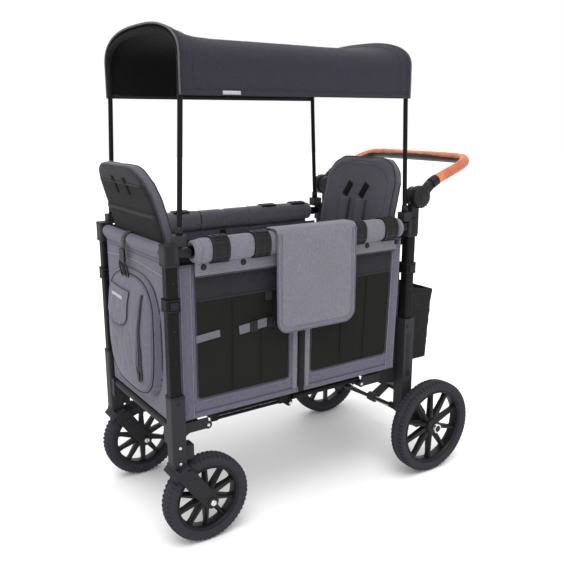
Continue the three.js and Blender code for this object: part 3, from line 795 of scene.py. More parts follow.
def make_hoops():
    for end_name, end in ENDS:
        body = "front_frame" if end < 0 else "rear_frame"
        side = [(0.334, 0.7446), (0.334, 0.764), (0.332, 0.800), (0.322, 1.040), (0.320, 1.119)]
        left = [Vector((end * x, -0.205, z)) for x, z in side]
        arch = []
        for k in range(33):
            turn = math.pi * k / 32
            rise = 0.064 + CANOPY_LIFT[end] - 0.002
            flat = math.copysign(abs(math.cos(turn)) ** 0.8, math.cos(turn))
            arch.append(Vector((end * 0.320, -0.205 * flat, 1.139 + rise * math.sin(turn) ** 0.9)))
        right = [Vector((p.x, -p.y, p.z)) for p in reversed(left)]
        line = even_line([at(*p) for p in left + arch + right], 170)
        pieces = [sweep("pole", line, circle(5.9 * MM, 16), TUBE)]
        sleeve = [at(*p) for p in arch]
        pieces.append(sweep("hoop_sleeve", even_line(sleeve, 90), circle(7.2 * MM, 14), LINING))
        for _, sign in SIDES:
            low = at(end * 0.334, sign * 0.205, 0.7604)
            high = at(end * 0.3338, sign * 0.205, 0.778)
            pieces.append(sweep("hoop_foot", even_line([low, high], 3), circle(8.4 * MM, 20), BLACK_PLASTIC))
        hoop = join(f"canopy_hoop_{end_name}_look", pieces)
        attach(hoop, body)
        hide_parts(f"canopy_hoop_{end_name}")


# ---------------------------------------------------------------- wheels
def tyre(name, centre, radius, half_width, body, node):
    inner = radius - 0.027
    profile = [(inner, -0.74), (inner + 0.002, -0.80), (radius - 0.018, -0.97), (radius - 0.012, -1.0),
               (radius - 0.007, -0.97), (radius - 0.0028, -0.86), (radius - 0.0012, -0.72),
               (radius - 0.0006, -0.50), (radius - 0.0003, -0.28), (radius, -0.12)]
    profile = profile + [(r, -w) for r, w in reversed(profile)]
    blocks = int(2 * math.pi * radius / 0.0125)
    pattern = (0.0, 0.42, 0.5, 0.92)
    vertices, faces = [], []
    for block in range(blocks):
        for part in pattern:
            turn = 2 * math.pi * (block + part) / blocks
            for r, w in profile:
                shifted = turn + (0.5 * math.pi / blocks if w > 0 else 0)
                deep = 0.0
                if part >= 0.5 and 0.28 <= abs(w) <= 0.9 and r > radius - 0.009:
                    deep = 0.0030
                if 0.2 < abs(w) < 0.3:
                    deep = 0.0018
                reach = r - deep
                vertices.append(Vector(centre) + Vector((math.cos(shifted) * reach, w * half_width,
                                                         math.sin(shifted) * reach)))
    ring, around = len(profile), blocks * len(pattern)
    for i in range(around):
        j = (i + 1) % around
        for k in range(ring):
            m = (k + 1) % ring
            faces.append((i * ring + k, i * ring + m, j * ring + m, j * ring + k))
    made = outward(new_object(name, vertices, faces, TYRE))
    for polygon in made.data.polygons:
        middle = (polygon.center - Vector(centre))
        polygon.use_smooth = math.hypot(middle.x, middle.z) < radius - 0.010
    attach(made, body)
    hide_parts(node)
    return made


def ring_line(name, centre, radius, height, tube, material, side):
    count = 96
    line = [Vector(centre) + Vector((math.cos(2 * math.pi * k / count) * radius, side * height,
                                     math.sin(2 * math.pi * k / count) * radius)) for k in range(count)]
    return sweep(name, line, circle(tube, 6), material, closed=True)


def rim(name, centre, radius, side, body, node, capped):
    inner = radius - 0.027
    outer = inner - 0.0003
    pieces = []
    hoop = [(outer, -0.0168), (outer, 0.0168), (outer - 0.003, 0.0178), (outer - 0.0055, 0.0165),
            (outer - 0.0075, 0.008), (outer - 0.0075, -0.008), (outer - 0.0055, -0.0165),
            (outer - 0.003, -0.0178), (outer, -0.0168)]
    pieces.append(lathe("hoop", hoop, centre, (0, 1, 0), RIM, 96))
    reach = outer - 0.004
    for k in range(10):
        turn = 2 * math.pi * (k + 0.5) / 10
        along = Vector((math.cos(turn), 0, math.sin(turn)))
        across = Vector((-math.sin(turn), 0, math.cos(turn)))
        centre_side = Vector((0, side, 0))
        rings, faces, vertices = 6, [], []
        for i in range(rings):
            share = i / (rings - 1)
            distance = 0.013 + (reach - 0.013) * share
            wide = 0.0088 * (1 - share) + 0.0050 * share + (0.003 if share == 1 else 0)
            dish = 0.0085 * (1 - share) + 0.0045 * share
            for a, b in ((-wide, -0.0075), (-wide * 0.8, dish - 0.002), (-wide * 0.35, dish + 0.0025),
                         (wide * 0.35, dish + 0.0025), (wide * 0.8, dish - 0.002), (wide, -0.0075)):
                vertices.append(Vector(centre) + along * distance + across * a + centre_side * b)
        for i in range(rings - 1):
            for m in range(6):
                n = (m + 1) % 6
                faces.append((i * 6 + m, i * 6 + n, (i + 1) * 6 + n, (i + 1) * 6 + m))
        faces += [tuple(range(6)), tuple(range((rings - 1) * 6, rings * 6))]
        pieces.append(outward(new_object("spoke", vertices, faces, RIM, smooth=False)))
    hub = [(0.0078, -0.0225), (0.0155, -0.0225), (0.0185, -0.018), (0.0185, 0.008), (0.0165, 0.0135),
           (0.013, 0.017), (0.0078, 0.017), (0.0078, -0.0225)]
    pieces.append(lathe("hub", [(r, side * h) for r, h in hub], centre, (0, 1, 0), RIM, 48))
    if capped:
        cap = [(0, 0.0245), (0.010, 0.0242), (0.0165, 0.0225), (0.0225, 0.018), (0.0235, 0.0135),
               (0.0225, 0.009), (0.0, 0.009)]
        pieces.append(lathe("cap", [(r, side * h) for r, h in cap], centre, (0, 1, 0), CASTING, 48))
    pieces.append(ring_line("rim_groove", centre, outer - 0.0022, 0.0178, 0.0012, RIM, side))
    made = join(name, pieces)
    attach(made, body)
    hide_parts(node)


def make_wheels():
    for side_name, side in SIDES:
        for end_name, x, y, radius in (("front", -0.285, 0.200, 0.110), ("rear", 0.422, 0.252, 0.135)):
            centre = at(x, side * y, radius)
            body = f"{end_name}_wheel_{side_name}"
            tyre(f"{end_name}_tyre_{side_name}_look", centre, radius, 0.023, body,
                 f"{end_name}_tyre_{side_name}")
            rim(f"{end_name}_rim_{side_name}_look", centre, radius, side, body,
                f"{end_name}_rim_{side_name}", end_name == "rear")



# ---------------------------------------------------------------- seats
SEAT_LEAN = math.radians(9)
SEAT_X = 0.280
SEAT_Z = 0.488
SEAT_HALF = 0.163
SEAT_TALL = 0.418
SEAT_THICK = 0.028
SEAT_CORNER = 0.080
SHOULDER = SEAT_TALL - SEAT_CORNER
SEAT_BEND = {-1: 0.026, 1: 0.014}
SEAT_RISE = {-1: 1.03, 1: 1.0}


def seat_outline(inset=0.0, count=96):
    half, radius = SEAT_HALF - inset, SEAT_CORNER - inset
    points = [(-half, inset)]
    for k in range(13):
        turn = math.pi / 2 * k / 12
        points.append((-half + radius - radius * math.cos(turn), SHOULDER + radius * math.sin(turn)))
    points += [(-a, b) for a, b in reversed(points)]
    # the sides draw in a little towards the top
    points = [(a * (1 - 0.05 * max(0.0, b / SEAT_TALL) ** 2), b) for a, b in points]
    return [(p.x, p.y) for p in even_line([(a, b, 0) for a, b in points + points[:1]], count + 1)[:-1]]


def seat_bend(end, up):
    """How far the top of a seat back curls outward."""
    return SEAT_BEND[end] * max(0.0, (up - 0.250) / (SEAT_TALL - 0.250)) ** 1.6


def on_seat(end, across, up, out):
    """A point on a seat back: across its width, up from its foot, out from its middle plane."""
    flat = Vector((end * (out + seat_bend(end, up)), across, up * SEAT_RISE[end]))
    turned = Matrix.Rotation(end * SEAT_LEAN, 4, "Y") @ flat
    return at(*(turned + Vector((end * (SEAT_X + SEAT_THICK / 2 + 0.001), 0, SEAT_Z))))


def seat_local(end, point):
    """The inverse of on_seat."""
    middle = at(end * (SEAT_X + SEAT_THICK / 2 + 0.001), 0, SEAT_Z)
    flat = Matrix.Rotation(-end * SEAT_LEAN, 4, "Y") @ (Vector(point) - middle)
    up = flat.z / SEAT_RISE[end]
    return flat.y, up, end * flat.x - seat_bend(end, up)


def resting_on(made, points, direction, lift):
    """The points moved along direction until they meet the piece, then lifted off it."""
    way = Vector(direction).normalized()
    result = []
    for point in points:
        hit, place, _, _ = made.ray_cast(point - way * 0.06, way)
        result.append((place if hit else point) - way * lift)
    return result


def make_seat_back(end_name, end):
    body = "front_frame" if end < 0 else "rear_frame"
    outline = seat_outline()
    half = SEAT_THICK / 2 - 0.0018
    count = len(outline)
    bend = on_seat(end, 0, 0.3, 1.0) - on_seat(end, 0, 0.3, 0.0)
    vertices = [on_seat(end, a, b, out) - bend * seat_bend(end, b) for out in (-half, half) for a,
                b in outline]
    faces = [tuple(range(count)), tuple(range(count, 2 * count))]
    faces += [(k, (k + 1) % count, count + (k + 1) % count, count + k) for k in range(count)]
    cushion = outward(new_object(f"seat_back_{end_name}_cushion", vertices, faces, GREY))
    padding(cushion, 5 * MM, 3.0, 4 * MM)
    displaced(cushion, lambda point, normal: bend * seat_bend(end, seat_local(end, point)[1]))

    def quilting(point, normal):
        across, up, out = seat_local(end, point)
        if out > 0.002:
            return normal * 0.0005 * wrinkle(point, 0.05, 1 + end)
        border = math.hypot(across / 0.142, max(0.0, up - 0.318) / 0.082)
        deep = 0.5 * math.exp(-((border - 1) / 0.03) ** 2) if up > 0.03 else 0.0
        if border < 1:
            for line in (-0.082, 0.082):
                deep += 0.5 * math.exp(-((across - line) / 0.008) ** 2) * min(1, max(0, (0.26 - up) / 0.05))
            deep += 0.6 * math.exp(-((up - 0.150) / 0.006) ** 2)
        return normal * (-0.0040 * min(1.1, deep) + 0.0013 * wrinkle(point, 0.045, 2 + end))

    displaced(cushion, quilting)
    subdivided(cushion)
    outside = bend.normalized()

    def colours(centre, normal):
        across, up, out = seat_local(end, centre)
        if normal.dot(outside) < 0.75:
            return 0
        return 2 if up > 0.372 else 1

    paint(cushion, colours, [GREY_SEAT, BLACK_CLOTH, GREY_DARK])
    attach(cushion, body)
    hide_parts(f"seat_back_{end_name}")

    def laid(points, face, lift):
        """Points (across, up) laid on the front (-1) or the back (1) of the seat back."""
        placed = [on_seat(end, a, b, face * 0.012) for a, b in points]
        return resting_on(cushion, placed, outside * -face, lift)

    extras = []
    edge, deep_edge = seat_outline(0.0015, 140), seat_outline(0.030, 140)
    for out in (-0.0110, 0.0110):
        ring = []
        for (a, b), (c, d) in zip(edge, deep_edge):
            place = on_seat(end, a, b, out)
            ring += resting_on(cushion, [place], on_seat(end, c, d, out * 0.3) - place, 0.0004)
        extras.append(sweep("piping", even_line(ring, 160, True), circle(2.0 * MM, 8), PIPING, closed=True))
    border = [(0.138 * math.copysign(abs(math.cos(k)) ** 0.7, math.cos(k)),
               0.318 + 0.078 * abs(math.sin(k)) ** 0.8)
              for k in np.linspace(0, math.pi, 60)]
    border = even_line([(a, b, 0) for a, b in [(0.138, 0.04)] + border + [(-0.138, 0.04)]], 160)
    extras.append(stitches("seam", laid([(p.x * 0.955, p.y * 0.99) for p in border], -1, 0.0008),
                           THREAD_DARK))
    for across in (-0.036, 0.036):
        # a hooded slot: a near-black strip painted as the shade in its opening, on a dark grey border, then
        # the shoulder pad hanging from it
        lean = -0.0085
        path = laid([(across + lean * s, 0.318 + 0.017 * s) for s in np.linspace(-1, 1, 8)], -1, 0.0014)
        extras.append(sweep("strap_slot", path, rounded(19 * MM, 3.4 * MM, 1.5 * MM, 2), LINING, up=-outside))
        path = laid([(across + lean * s, 0.318 + 0.017 * s) for s in np.linspace(-1.2, 1.2, 8)], -1, 0.0001)
        extras.append(sweep("slot_border", path, rounded(25 * MM, 3.2 * MM, 1.4 * MM, 2), GREY_DARK,
                            up=-outside))
        path = laid([(across, up) for up in np.linspace(0.293, 0.105, 24)], -1, 0.0042)
        extras.append(sweep("shoulder_pad", path, rounded(40 * MM, 9 * MM, 3.8 * MM, 3), GREY_SEAT,
                            up=-outside))
        for offset in (-0.0165, 0.0165):
            path = laid([(across + offset, up) for up in np.linspace(0.290, 0.107, 22)], -1, 0.0092)
            extras.append(stitches("pad_stitch", path, THREAD_DARK))
            path = laid([(across + offset * 1.24, up) for up in np.linspace(0.292, 0.106, 22)], -1, 0.0038)
            extras.append(sweep("pad_edge", path, circle(1.8 * MM, 8), PIPING))
        path = laid([(across, up) for up in np.linspace(0.120, 0.040, 16)], -1, 0.0020)
        extras.append(sweep("shoulder_strap", path, rounded(24 * MM, 2 * MM, 0.8 * MM, 2), WEB, up=-outside))
        path = laid([(across, up) for up in np.linspace(0.098, 0.076, 5)], -1, 0.0050)
        extras.append(sweep("strap_adjuster", path, rounded(30 * MM, 5 * MM, 1.6 * MM, 2), BLACK_PLASTIC,
                            up=-outside))
    # outside: slate cap at the top, elastic pocket band, seams and the adjuster strap
    cap = [(a, 0.372) for a in np.linspace(-0.128, 0.128, 40)]
    extras.append(sweep("cap_seam", laid(cap, 1, 0.0012), rounded(2.2 * MM, 5 * MM, 1.0 * MM, 2), GREY_DARK,
                        up=(0, 0, 1)))
    band = [(a, 0.303) for a in np.linspace(-0.150, 0.150, 40)]
    extras.append(sweep("pocket_band", laid(band, 1, 0.0022), rounded(3.0 * MM, 9 * MM, 1.3 * MM, 2),
                        GREY_DARK, up=(0, 0, 1)))
    for up in (0.297, 0.309):
        extras.append(stitches("band_stitch", laid([(a, up) for a in np.linspace(-0.148, 0.148, 60)], 1,
                                                   0.0036), THREAD_DARK))
    for across in (-0.128, 0.128):
        line = [(across, up) for up in np.linspace(0.03, 0.330, 40)]
        extras.append(stitches("back_seam", laid(line, 1, 0.0008), THREAD_DARK))
    for across in (-0.036, 0.036):
        strap = [(across, up) for up in np.linspace(0.345, 0.385, 8)]
        extras.append(sweep("back_strap", laid(strap, 1, 0.0016), rounded(18 * MM, 1.8 * MM, 0.8 * MM, 2),
                            LINING, up=outside))
    trim = join(f"seat_back_{end_name}_trim", extras)
    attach(trim, body)


def make_seat_base(end_name, end):
    depth, tall = 0.190, 0.028
    middle = end * (SEAT_X - 0.002 - depth / 2)
    z = SEAT_Z - 0.001 - tall / 2
    section = rounded(depth - 0.004, tall - 0.004, 0.009)
    count = len(section)
    vertices = [at(middle + a, y, z + b) for y in (-SEAT_HALF + 0.002, SEAT_HALF - 0.002) for a, b in section]
    faces = [tuple(range(count)), tuple(range(count, 2 * count))]
    faces += [(k, (k + 1) % count, count + (k + 1) % count, count + k) for k in range(count)]
    cushion = outward(new_object(f"seat_base_{end_name}_cushion", vertices, faces, GREY_SEAT))
    padding(cushion, 5 * MM, 2.0, 3 * MM)

    def quilting(point, normal):
        deep = 0.0
        for line in (-0.093, 0.0, 0.093):
            deep += math.exp(-((point.y - line) / 0.0045) ** 2)
        if normal.z < 0.3:
            deep = 0.0
        return normal * (-0.0028 * min(1, deep) + 0.0007 * wrinkle(point, 0.03, 8 + end) - 0.0004)

    displaced(cushion, quilting)
    subdivided(cushion)
    body = f"seat_{end_name}"
    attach(cushion, body)
    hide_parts(f"seat_base_{end_name}")
    edge = [at(middle + a, b, z + 0.0095) for a, b in rounded(depth - 0.002, 2 * SEAT_HALF - 0.002, 0.012, 4)]
    line = even_line(edge + edge[:1], 120)[:-1]
    extras = [sweep("piping", line, circle(1.9 * MM, 8), PIPING, closed=True)]
    # crotch strap and buckle lying on the seat
    strap = [at(middle - end * t, 0.0, z + tall / 2 + 0.0012) for t in np.linspace(-0.02, 0.055, 12)]
    extras.append(sweep("crotch_strap", strap, rounded(25 * MM, 1.8 * MM, 0.8 * MM, 2), WEB, up=(0, 0, 1)))
    buckle = plate("buckle", rounded(0.038, 0.046, 0.010), 9 * MM, at(middle - end * 0.066, 0,
                                                                      z + tall / 2 + 0.0052),
                   (0, 0, 1), (1, 0, 0), BLACK_PLASTIC, 0.002)
    extras.append(buckle)
    extras.append(plate("buckle_key", rounded(0.018, 0.018, 0.008), 2 * MM,
                        at(middle - end * 0.066, 0,
                           z + tall / 2 + 0.0102), (0, 0, 1), (1, 0, 0), CASTING, 0.0008))
    for side in (-1, 1):
        lap = [at(middle + end * 0.072 - end * 0.004 * k / 14, side * (0.150 - 0.102 * k / 14),
                  z + tall / 2 + 0.0012) for k in range(15)]
        extras.append(sweep("lap_strap", lap, rounded(25 * MM, 1.8 * MM, 0.8 * MM, 2), WEB, up=(0, 0, 1)))
    trim = join(f"seat_base_{end_name}_trim", extras)
    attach(trim, body)


def make_floor_mats():
    for name, low, high in (("rear", -0.021, 0.209), ("front", -0.250, -0.029)):
        node = f"floor_{name}"
        middle = at((low + high) / 2, 0, 0.2931)
        mat = plate(f"{node}_mat", rounded(high - low, 0.324, 0.006), 7.6 * MM, middle,
                    (0, 0, 1), (0, 1, 0), BLACK_CLOTH, 0.0025)
        apply_modifiers(mat)
        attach(mat, node)
        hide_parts(node)


# ---------------------------------------------------------------- upper rail pads
PAD_SPAN = (0.076, 0.296)


def pad_section(side):
    """The rolled cover round a rail: offsets in Y and Z."""
    points = []
    for k in range(30):
        turn = 2 * math.pi * k / 30
        c, s = math.cos(turn), math.sin(turn)
        squared = 0.82
        across = 0.0248 * math.copysign(abs(c) ** squared, c)
        up = 0.0285 * math.copysign(abs(s) ** squared, s)
        points.append((0.209 * side + side * across, 0.721 + up))
    return points


def make_rail_pads():
    for side_name, side in SIDES:
        for end_name, end in ENDS:
            body = f"upper_{end_name}"
            node = f"rail_pad_{end_name}_{side_name}"
            low, high = PAD_SPAN
            columns = 48
            vertices, faces = [], []
            clips = (0.1355, 0.245) if end < 0 else (0.1555, 0.2635)
            for i in range(columns + 1):
                share = i / columns
                x = low + (high - low) * share
                ends = min(1.0, (min(share, 1 - share) * columns / 2.2) ** 0.5) if 0 < share < 1 else 0.0
                shrink = 0.86 + 0.14 * ends
                pinch = sum(math.exp(-((x - c) / 0.017) ** 4) for c in clips)
                for y, z in pad_section(side):
                    dy, dz = y - 0.209 * side, z - 0.721
                    here = Vector((x, dy * 3, dz * 3))
                    swell = 1 - 0.05 * pinch + 0.022 * wrinkle(here, 0.05, end + side) - 0.02
                    swell += 0.012 * creased(here, (0.5, 2, 2), 0.03, 4 + side)
                    vertices.append(at(end * x, 0.209 * side + dy * shrink * swell,
                                       0.721 + dz * shrink * swell))
            ring = 30
            for i in range(columns):
                for k in range(ring):
                    m = (k + 1) % ring
                    faces.append((i * ring + k, i * ring + m, (i + 1) * ring + m, (i + 1) * ring + k))
            faces += [tuple(range(ring)), tuple(range(columns * ring, (columns + 1) * ring))]
            pad = outward(new_object(f"{node}_cover", vertices, faces, GREY_LIGHT))
            subdivided(pad)
            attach(pad, body)
            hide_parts(node)
            extras = []
            for clip in clips:
                extras += rail_clip(end * clip, side)
            start, stop = end * (high - 0.003), end * (high + 0.0125)
            middle = (start + stop) / 2
            cuff = [(0.0180, start - middle), (0.0258, start - middle), (0.0250, (stop - middle) * 0.6),
                    (0.0205, stop - middle), (0.0180, stop - middle), (0.0180, start - middle)]
            extras.append(lathe("cuff", cuff, at(middle, side * 0.209, 0.721), (1, 0, 0), GREY_LIGHT, 32))
            # hem below the roll, with its piping, snaps and seam
            out = side * 0.2120
            hem_low, hem_high = 0.662, 0.7005
            shape = rounded(high - low + 0.012, hem_high - hem_low, 0.004)
            centre = at(end * (low + high) / 2, out, (hem_low + hem_high) / 2)
            extras.append(plate("hem", shape, 3.0 * MM, centre, (0, side, 0), (0, 0, 1), GREY_LIGHT, 0.001))
            ends = (end * (low - 0.004), end * (high + 0.004))
            line = even_line([at(ends[0], out, hem_low), at(ends[1], out, hem_low)], 40)
            extras.append(sweep("hem_piping", line, circle(2.4 * MM, 8), PIPING))
            line = even_line([at(ends[0], out + side * 0.0018, hem_low + 0.007),
                              at(ends[1], out + side * 0.0018, hem_low + 0.007)], 40)
            extras.append(stitches("hem_stitch", line, THREAD))
            for snap in (clips[0] + 0.042, clips[1] + 0.036):
                button = [(0, 0.0052), (0.0042, 0.0048), (0.0068, 0.0034), (0.0074, 0.0014), (0, 0.0014)]
                extras.append(lathe("snap", button, at(end * snap, out, 0.683), (0, side, 0), BLACK_PLASTIC,
                                    24))
            trim = join(f"{node}_trim", extras)
            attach(trim, body)


def make_knee_sleeves():
    """Loose cloth that carries the cover across the rail's knee."""
    for side_name, side in SIDES:
        columns, ring = 40, 32
        vertices, faces = [], []
        for i in range(columns + 1):
            x = -0.0775 + 0.155 * i / columns
            gather = 0.955 - 0.09 * math.exp(-(x / 0.006) ** 2)
            for k in range(ring):
                turn = 2 * math.pi * k / ring
                c, s = math.cos(turn), math.sin(turn)
                here = Vector((x, c * 0.03, s * 0.03))
                swell = gather + 0.012 * wrinkle(here, 0.03, 6 + side)
                vertices.append(at(x, 0.209 * side + side * 0.0248 * swell * math.copysign(abs(c) ** 0.82, c),
                                   0.721 + 0.0285 * swell * math.copysign(abs(s) ** 0.82, s)))
        for i in range(columns):
            for k in range(ring):
                m = (k + 1) % ring
                faces.append((i * ring + k, i * ring + m, (i + 1) * ring + m, (i + 1) * ring + k))
        first = len(vertices)
        for i in range(columns + 1):
            x = -0.0775 + 0.155 * i / columns
            for row in range(7):
                wave = 0.0012 * math.sin(x * 190 + row * 0.4)
                vertices.append(at(x, side * (0.2120 + wave), 0.7000 - 0.0064 * row))
        for i in range(columns):
            for row in range(6):
                a, b = first + i * 7 + row, first + (i + 1) * 7 + row
                faces.append((a, b, b + 1, a + 1))
        sleeve = new_object(f"knee_sleeve_{side_name}", vertices, faces, GREY_LIGHT)
        modifier(sleeve, "SOLIDIFY", thickness=1.4 * MM, offset=-1)
        apply_modifiers(sleeve)
        outward(sleeve)
        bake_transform(sleeve)


def rail_clip(x, side):
    """A ribbed plastic clip holding the cover on the rail: two straps with cross ribs."""
    pieces = []
    outer = 0.0262
    for offset, wide, thick in ((0.0, 42, 1.8), (-0.0185, 7, 4.4), (0.0, 5, 3.8), (0.0185, 7, 4.4)):
        arc = []
        for k in range(25):
            turn = math.radians(-75 + 200 * k / 24)
            c, s = math.cos(turn), math.sin(turn)
            arc.append(at(x + offset, 0.209 * side + side * outer * math.copysign(abs(c) ** 0.8, c),
                          0.721 + 0.0298 * math.copysign(abs(s) ** 0.8, s)))
        pieces.append(sweep("clip_strap", even_line(arc, 30), rounded(thick * MM, wide * MM, 0.8 * MM, 2),
                            BLACK_PLASTIC, up=(1, 0, 0)))
    for k in range(9):
        turn = math.radians(-64 + 178 * k / 8)
        c, s = math.cos(turn), math.sin(turn)
        middle = at(x, 0.209 * side + side * outer * math.copysign(abs(c) ** 0.8, c),
                    0.721 + 0.0298 * math.copysign(abs(s) ** 0.8, s))
        normal = Vector((0, side * c, s))
        wide = 0.050 if k in (0, 8) else 0.044
        pieces.append(plate("clip_rib", rounded(wide, 0.0050, 0.0014, 2), 4.4 * MM, middle, normal,
                            normal.cross(Vector((1, 0, 0))), BLACK_PLASTIC, 0.0006))
    return pieces


# ---------------------------------------------------------------- side walls and flap
WALL_X = (-0.3425, 0.330)
WALL_DRAW = 0.014
WALL_Z = (0.319, 0.689)
WINDOWS = ((-0.296, -0.043, 0.366, 0.668), (0.028, 0.293, 0.368, 0.668))
BAND_Z = 0.603


def steps(marks, size):
    """Values through all the marks, no further apart than size."""
    values = []
    marks = sorted(marks)
    for a, b in zip(marks, marks[1:]):
        count = max(1, math.ceil((b - a) / size))
        values += [a + (b - a) * k / count for k in range(count)]
    return values + [marks[-1]]


def wall_point(side, x, z, lift=0.0):
    """A point on the cloth of a side wall. lift is the height above it, outward."""
    across = (x - WALL_X[0]) / (WALL_X[1] - WALL_X[0])
    tall = (z - WALL_Z[0]) / (WALL_Z[1] - WALL_Z[0])
    free = math.sin(math.pi * min(1, max(0, across))) ** 0.5 * math.sin(math.pi * min(1, max(0, tall))) ** 0.6
    here = Vector((x, 0, z))
    bulge = 0.0018 * free + 0.0016 * free * wrinkle(here, 0.13, 3 + side)
    bulge += 0.0011 * free * creased(here, (0.45, 1, 1.5), 0.05, 6 + side)
    bulge -= 0.003 * math.exp(-((x + 0.006) / 0.022) ** 2) * free
    # the cloth draws in towards its lower rear corner
    drawn = min(1, max(0, (x - 0.10) / 0.19))
    x -= WALL_DRAW * (1 - tall) * drawn * drawn * (3 - 2 * drawn)
    return at(x, side * (0.1988 + bulge + lift), z)


def cloth_strip(name, side, points, width, thickness, material, lift=0.0):
    """A flat strip sewn on a side wall along the given (x, z) points."""
    line = even_line([(x, 0, z) for x, z in points], max(4, int(1 + 220 * sum(
        math.dist(a, b) for a, b in zip(points, points[1:])))))
    placed = [wall_point(side, p.x, p.z, 0.0010 + thickness / 2 + lift) for p in line]
    return sweep(name, placed, rounded(width, thickness, thickness * 0.45, 2), material, up=(0, side, 0))


def rounded_path(x0, x1, z0, z1, radius):
    return [(p.x, p.y) for p in even_line(
        [(cx + (x0 + x1) / 2, cz + (z0 + z1) / 2, 0) for cx,
         cz in rounded(x1 - x0, z1 - z0, radius, 5)], 90, True)]


def make_side_wall(side_name, side):
    marks_x = [*WALL_X] + [w[0] for w in WINDOWS] + [w[1] for w in WINDOWS] + [-0.013, 0.006]
    marks_z = [*WALL_Z, 0.366, 0.368, BAND_Z, 0.668]
    xs, zs = steps(marks_x, 0.009), steps(marks_z, 0.009)
    vertices = [wall_point(side, x, z) for z in zs for x in xs]
    wide = len(xs)
    faces = [(j * wide + i, j * wide + i + 1, (j + 1) * wide + i + 1, (j + 1) * wide + i)
             for j in range(len(zs) - 1) for i in range(wide - 1)]
    wall = new_object(f"side_wall_{side_name}_cloth", vertices, faces, GREY)

    def region(centre, normal):
        x = centre.x - MIDDLE_X
        for x0, x1, z0, z1 in WINDOWS:
            if x0 < x < x1 and z0 < centre.z < z1:
                return 2 if centre.z > BAND_Z else 1
        return 3 if -0.013 < x < 0.006 else 0

    paint(wall, region, [GREY, NET, GREY_DARK, BLACK_CLOTH])
    modifier(wall, "SOLIDIFY", thickness=1.4 * MM, offset=0)
    apply_modifiers(wall)
    outward(wall)
    folds(wall)
    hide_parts(f"side_wall_{side_name}")
    extras = []
    for x0, x1, z0, z1 in WINDOWS:
        path = rounded_path(x0 - 0.002, x1 + 0.002, z0 - 0.002, z1 + 0.002, 0.006)
        line = [wall_point(side, x, z, 0.0012) for x, z in path]
        extras.append(sweep("window_piping", line, circle(1.8 * MM, 8), PIPING, closed=True))
        path = rounded_path(x0 - 0.009, x1 + 0.009, z0 - 0.009, z1 + 0.009, 0.010)
        line = [wall_point(side, x, z, 0.0012) for x, z in path]
        extras.append(stitches("window_stitch", line, THREAD, closed=True))
        extras.append(cloth_strip("band_seam", side, [(x0, BAND_Z), (x1, BAND_Z)], 6 * MM, 1.2 * MM,
                                  GREY_DARK))
        for share in (0.36, 0.68):
            x = x0 + (x1 - x0) * share
            extras.append(cloth_strip("net_pleat", side, [(x, z0 + 0.003), (x + 0.004, BAND_Z - 0.004)],
                                      3 * MM, 1.4 * MM, NET))
    # posts' edge strips, the middle band and the lower band
    for x in (-0.3220, 0.3130):
        extras.append(cloth_strip("edge_strip", side, [(x, 0.323), (x, 0.684)], 27 * MM, 1.8 * MM, GREY))
        for edge in (-0.0125, 0.0125):
            extras.append(cloth_strip("edge_piping", side, [(x + edge, 0.323), (x + edge, 0.684)],
                                      2.4 * MM, 3.2 * MM, PIPING_PALE))
    extras.append(cloth_strip("middle_tube", side, [(-0.0035, 0.321), (-0.0035, 0.686)], 17 * MM, 6 * MM,
                              BLACK_CLOTH))
    for x in (-0.0225, 0.0155):
        extras.append(cloth_strip("middle_binding", side, [(x, 0.321), (x, 0.686)], 15 * MM, 2.2 * MM,
                                  GREY_LIGHT))
        for edge in (-0.0055, 0.0055):
            line = even_line([wall_point(side, x + edge, 0.323, 0.0034),
                              wall_point(side, x + edge, 0.684, 0.0034)], 60)
            extras.append(stitches("middle_stitch", line, THREAD_DARK))
    extras.append(cloth_strip("bottom_hem", side, [(-0.341, 0.3255), (0.329, 0.3255)], 13 * MM, 2.6 * MM,
                              GREY))
    line = [wall_point(side, x, 0.334, 0.0014) for x in np.linspace(-0.338, 0.326, 130)]
    extras.append(stitches("bottom_stitch", line, THREAD_DARK))
    # webbing tabs with their sliders across the front window
    extras.append(cloth_strip("tab", side, [(-0.300, 0.512), (-0.238, 0.518)], 18 * MM, 2.0 * MM, WEB_GREY,
                              0.001))
    extras.append(cloth_strip("tab", side, [(-0.186, 0.516), (-0.086, 0.526)], 22 * MM, 2.0 * MM, WEB_GREY,
                              0.001))
    for x, z in ((-0.146, 0.520), (-0.098, 0.525)):
        middle = wall_point(side, x, z, 0.0056)
        extras.append(plate("slider", rounded(0.020, 0.028, 0.004), 4 * MM, middle, (0, side, 0), (0, 0, 1),
                            BLACK_PLASTIC, 0.001))
        extras.append(plate("slider_bar", rounded(0.005, 0.020, 0.002), 2.4 * MM,
                            middle + Vector((0, side * 0.0026, 0)),
                            (0, side, 0), (0, 0, 1), CASTING, 0.0008))
    trim = join(f"side_wall_{side_name}_trim", extras)
    folds(trim)


FLAP_X = (-0.099, 0.137)
FLAP_LOW = 0.500
FLAP_OUT = 0.2395


def flap_path(count):
    """The flap's own length: from its end inside the tub, over the rail, down to its lower edge."""
    points = [(-0.190, 0.7535), (-0.214, 0.7545), (-0.230, 0.7530), (-0.2370, 0.7470), (-0.2392, 0.7380),
              (-0.2395, 0.7200), (-0.2395, FLAP_LOW)]
    line = even_line([(0, y, z) for y, z in points], count + 1)
    return [(p.y, p.z) for p in line]


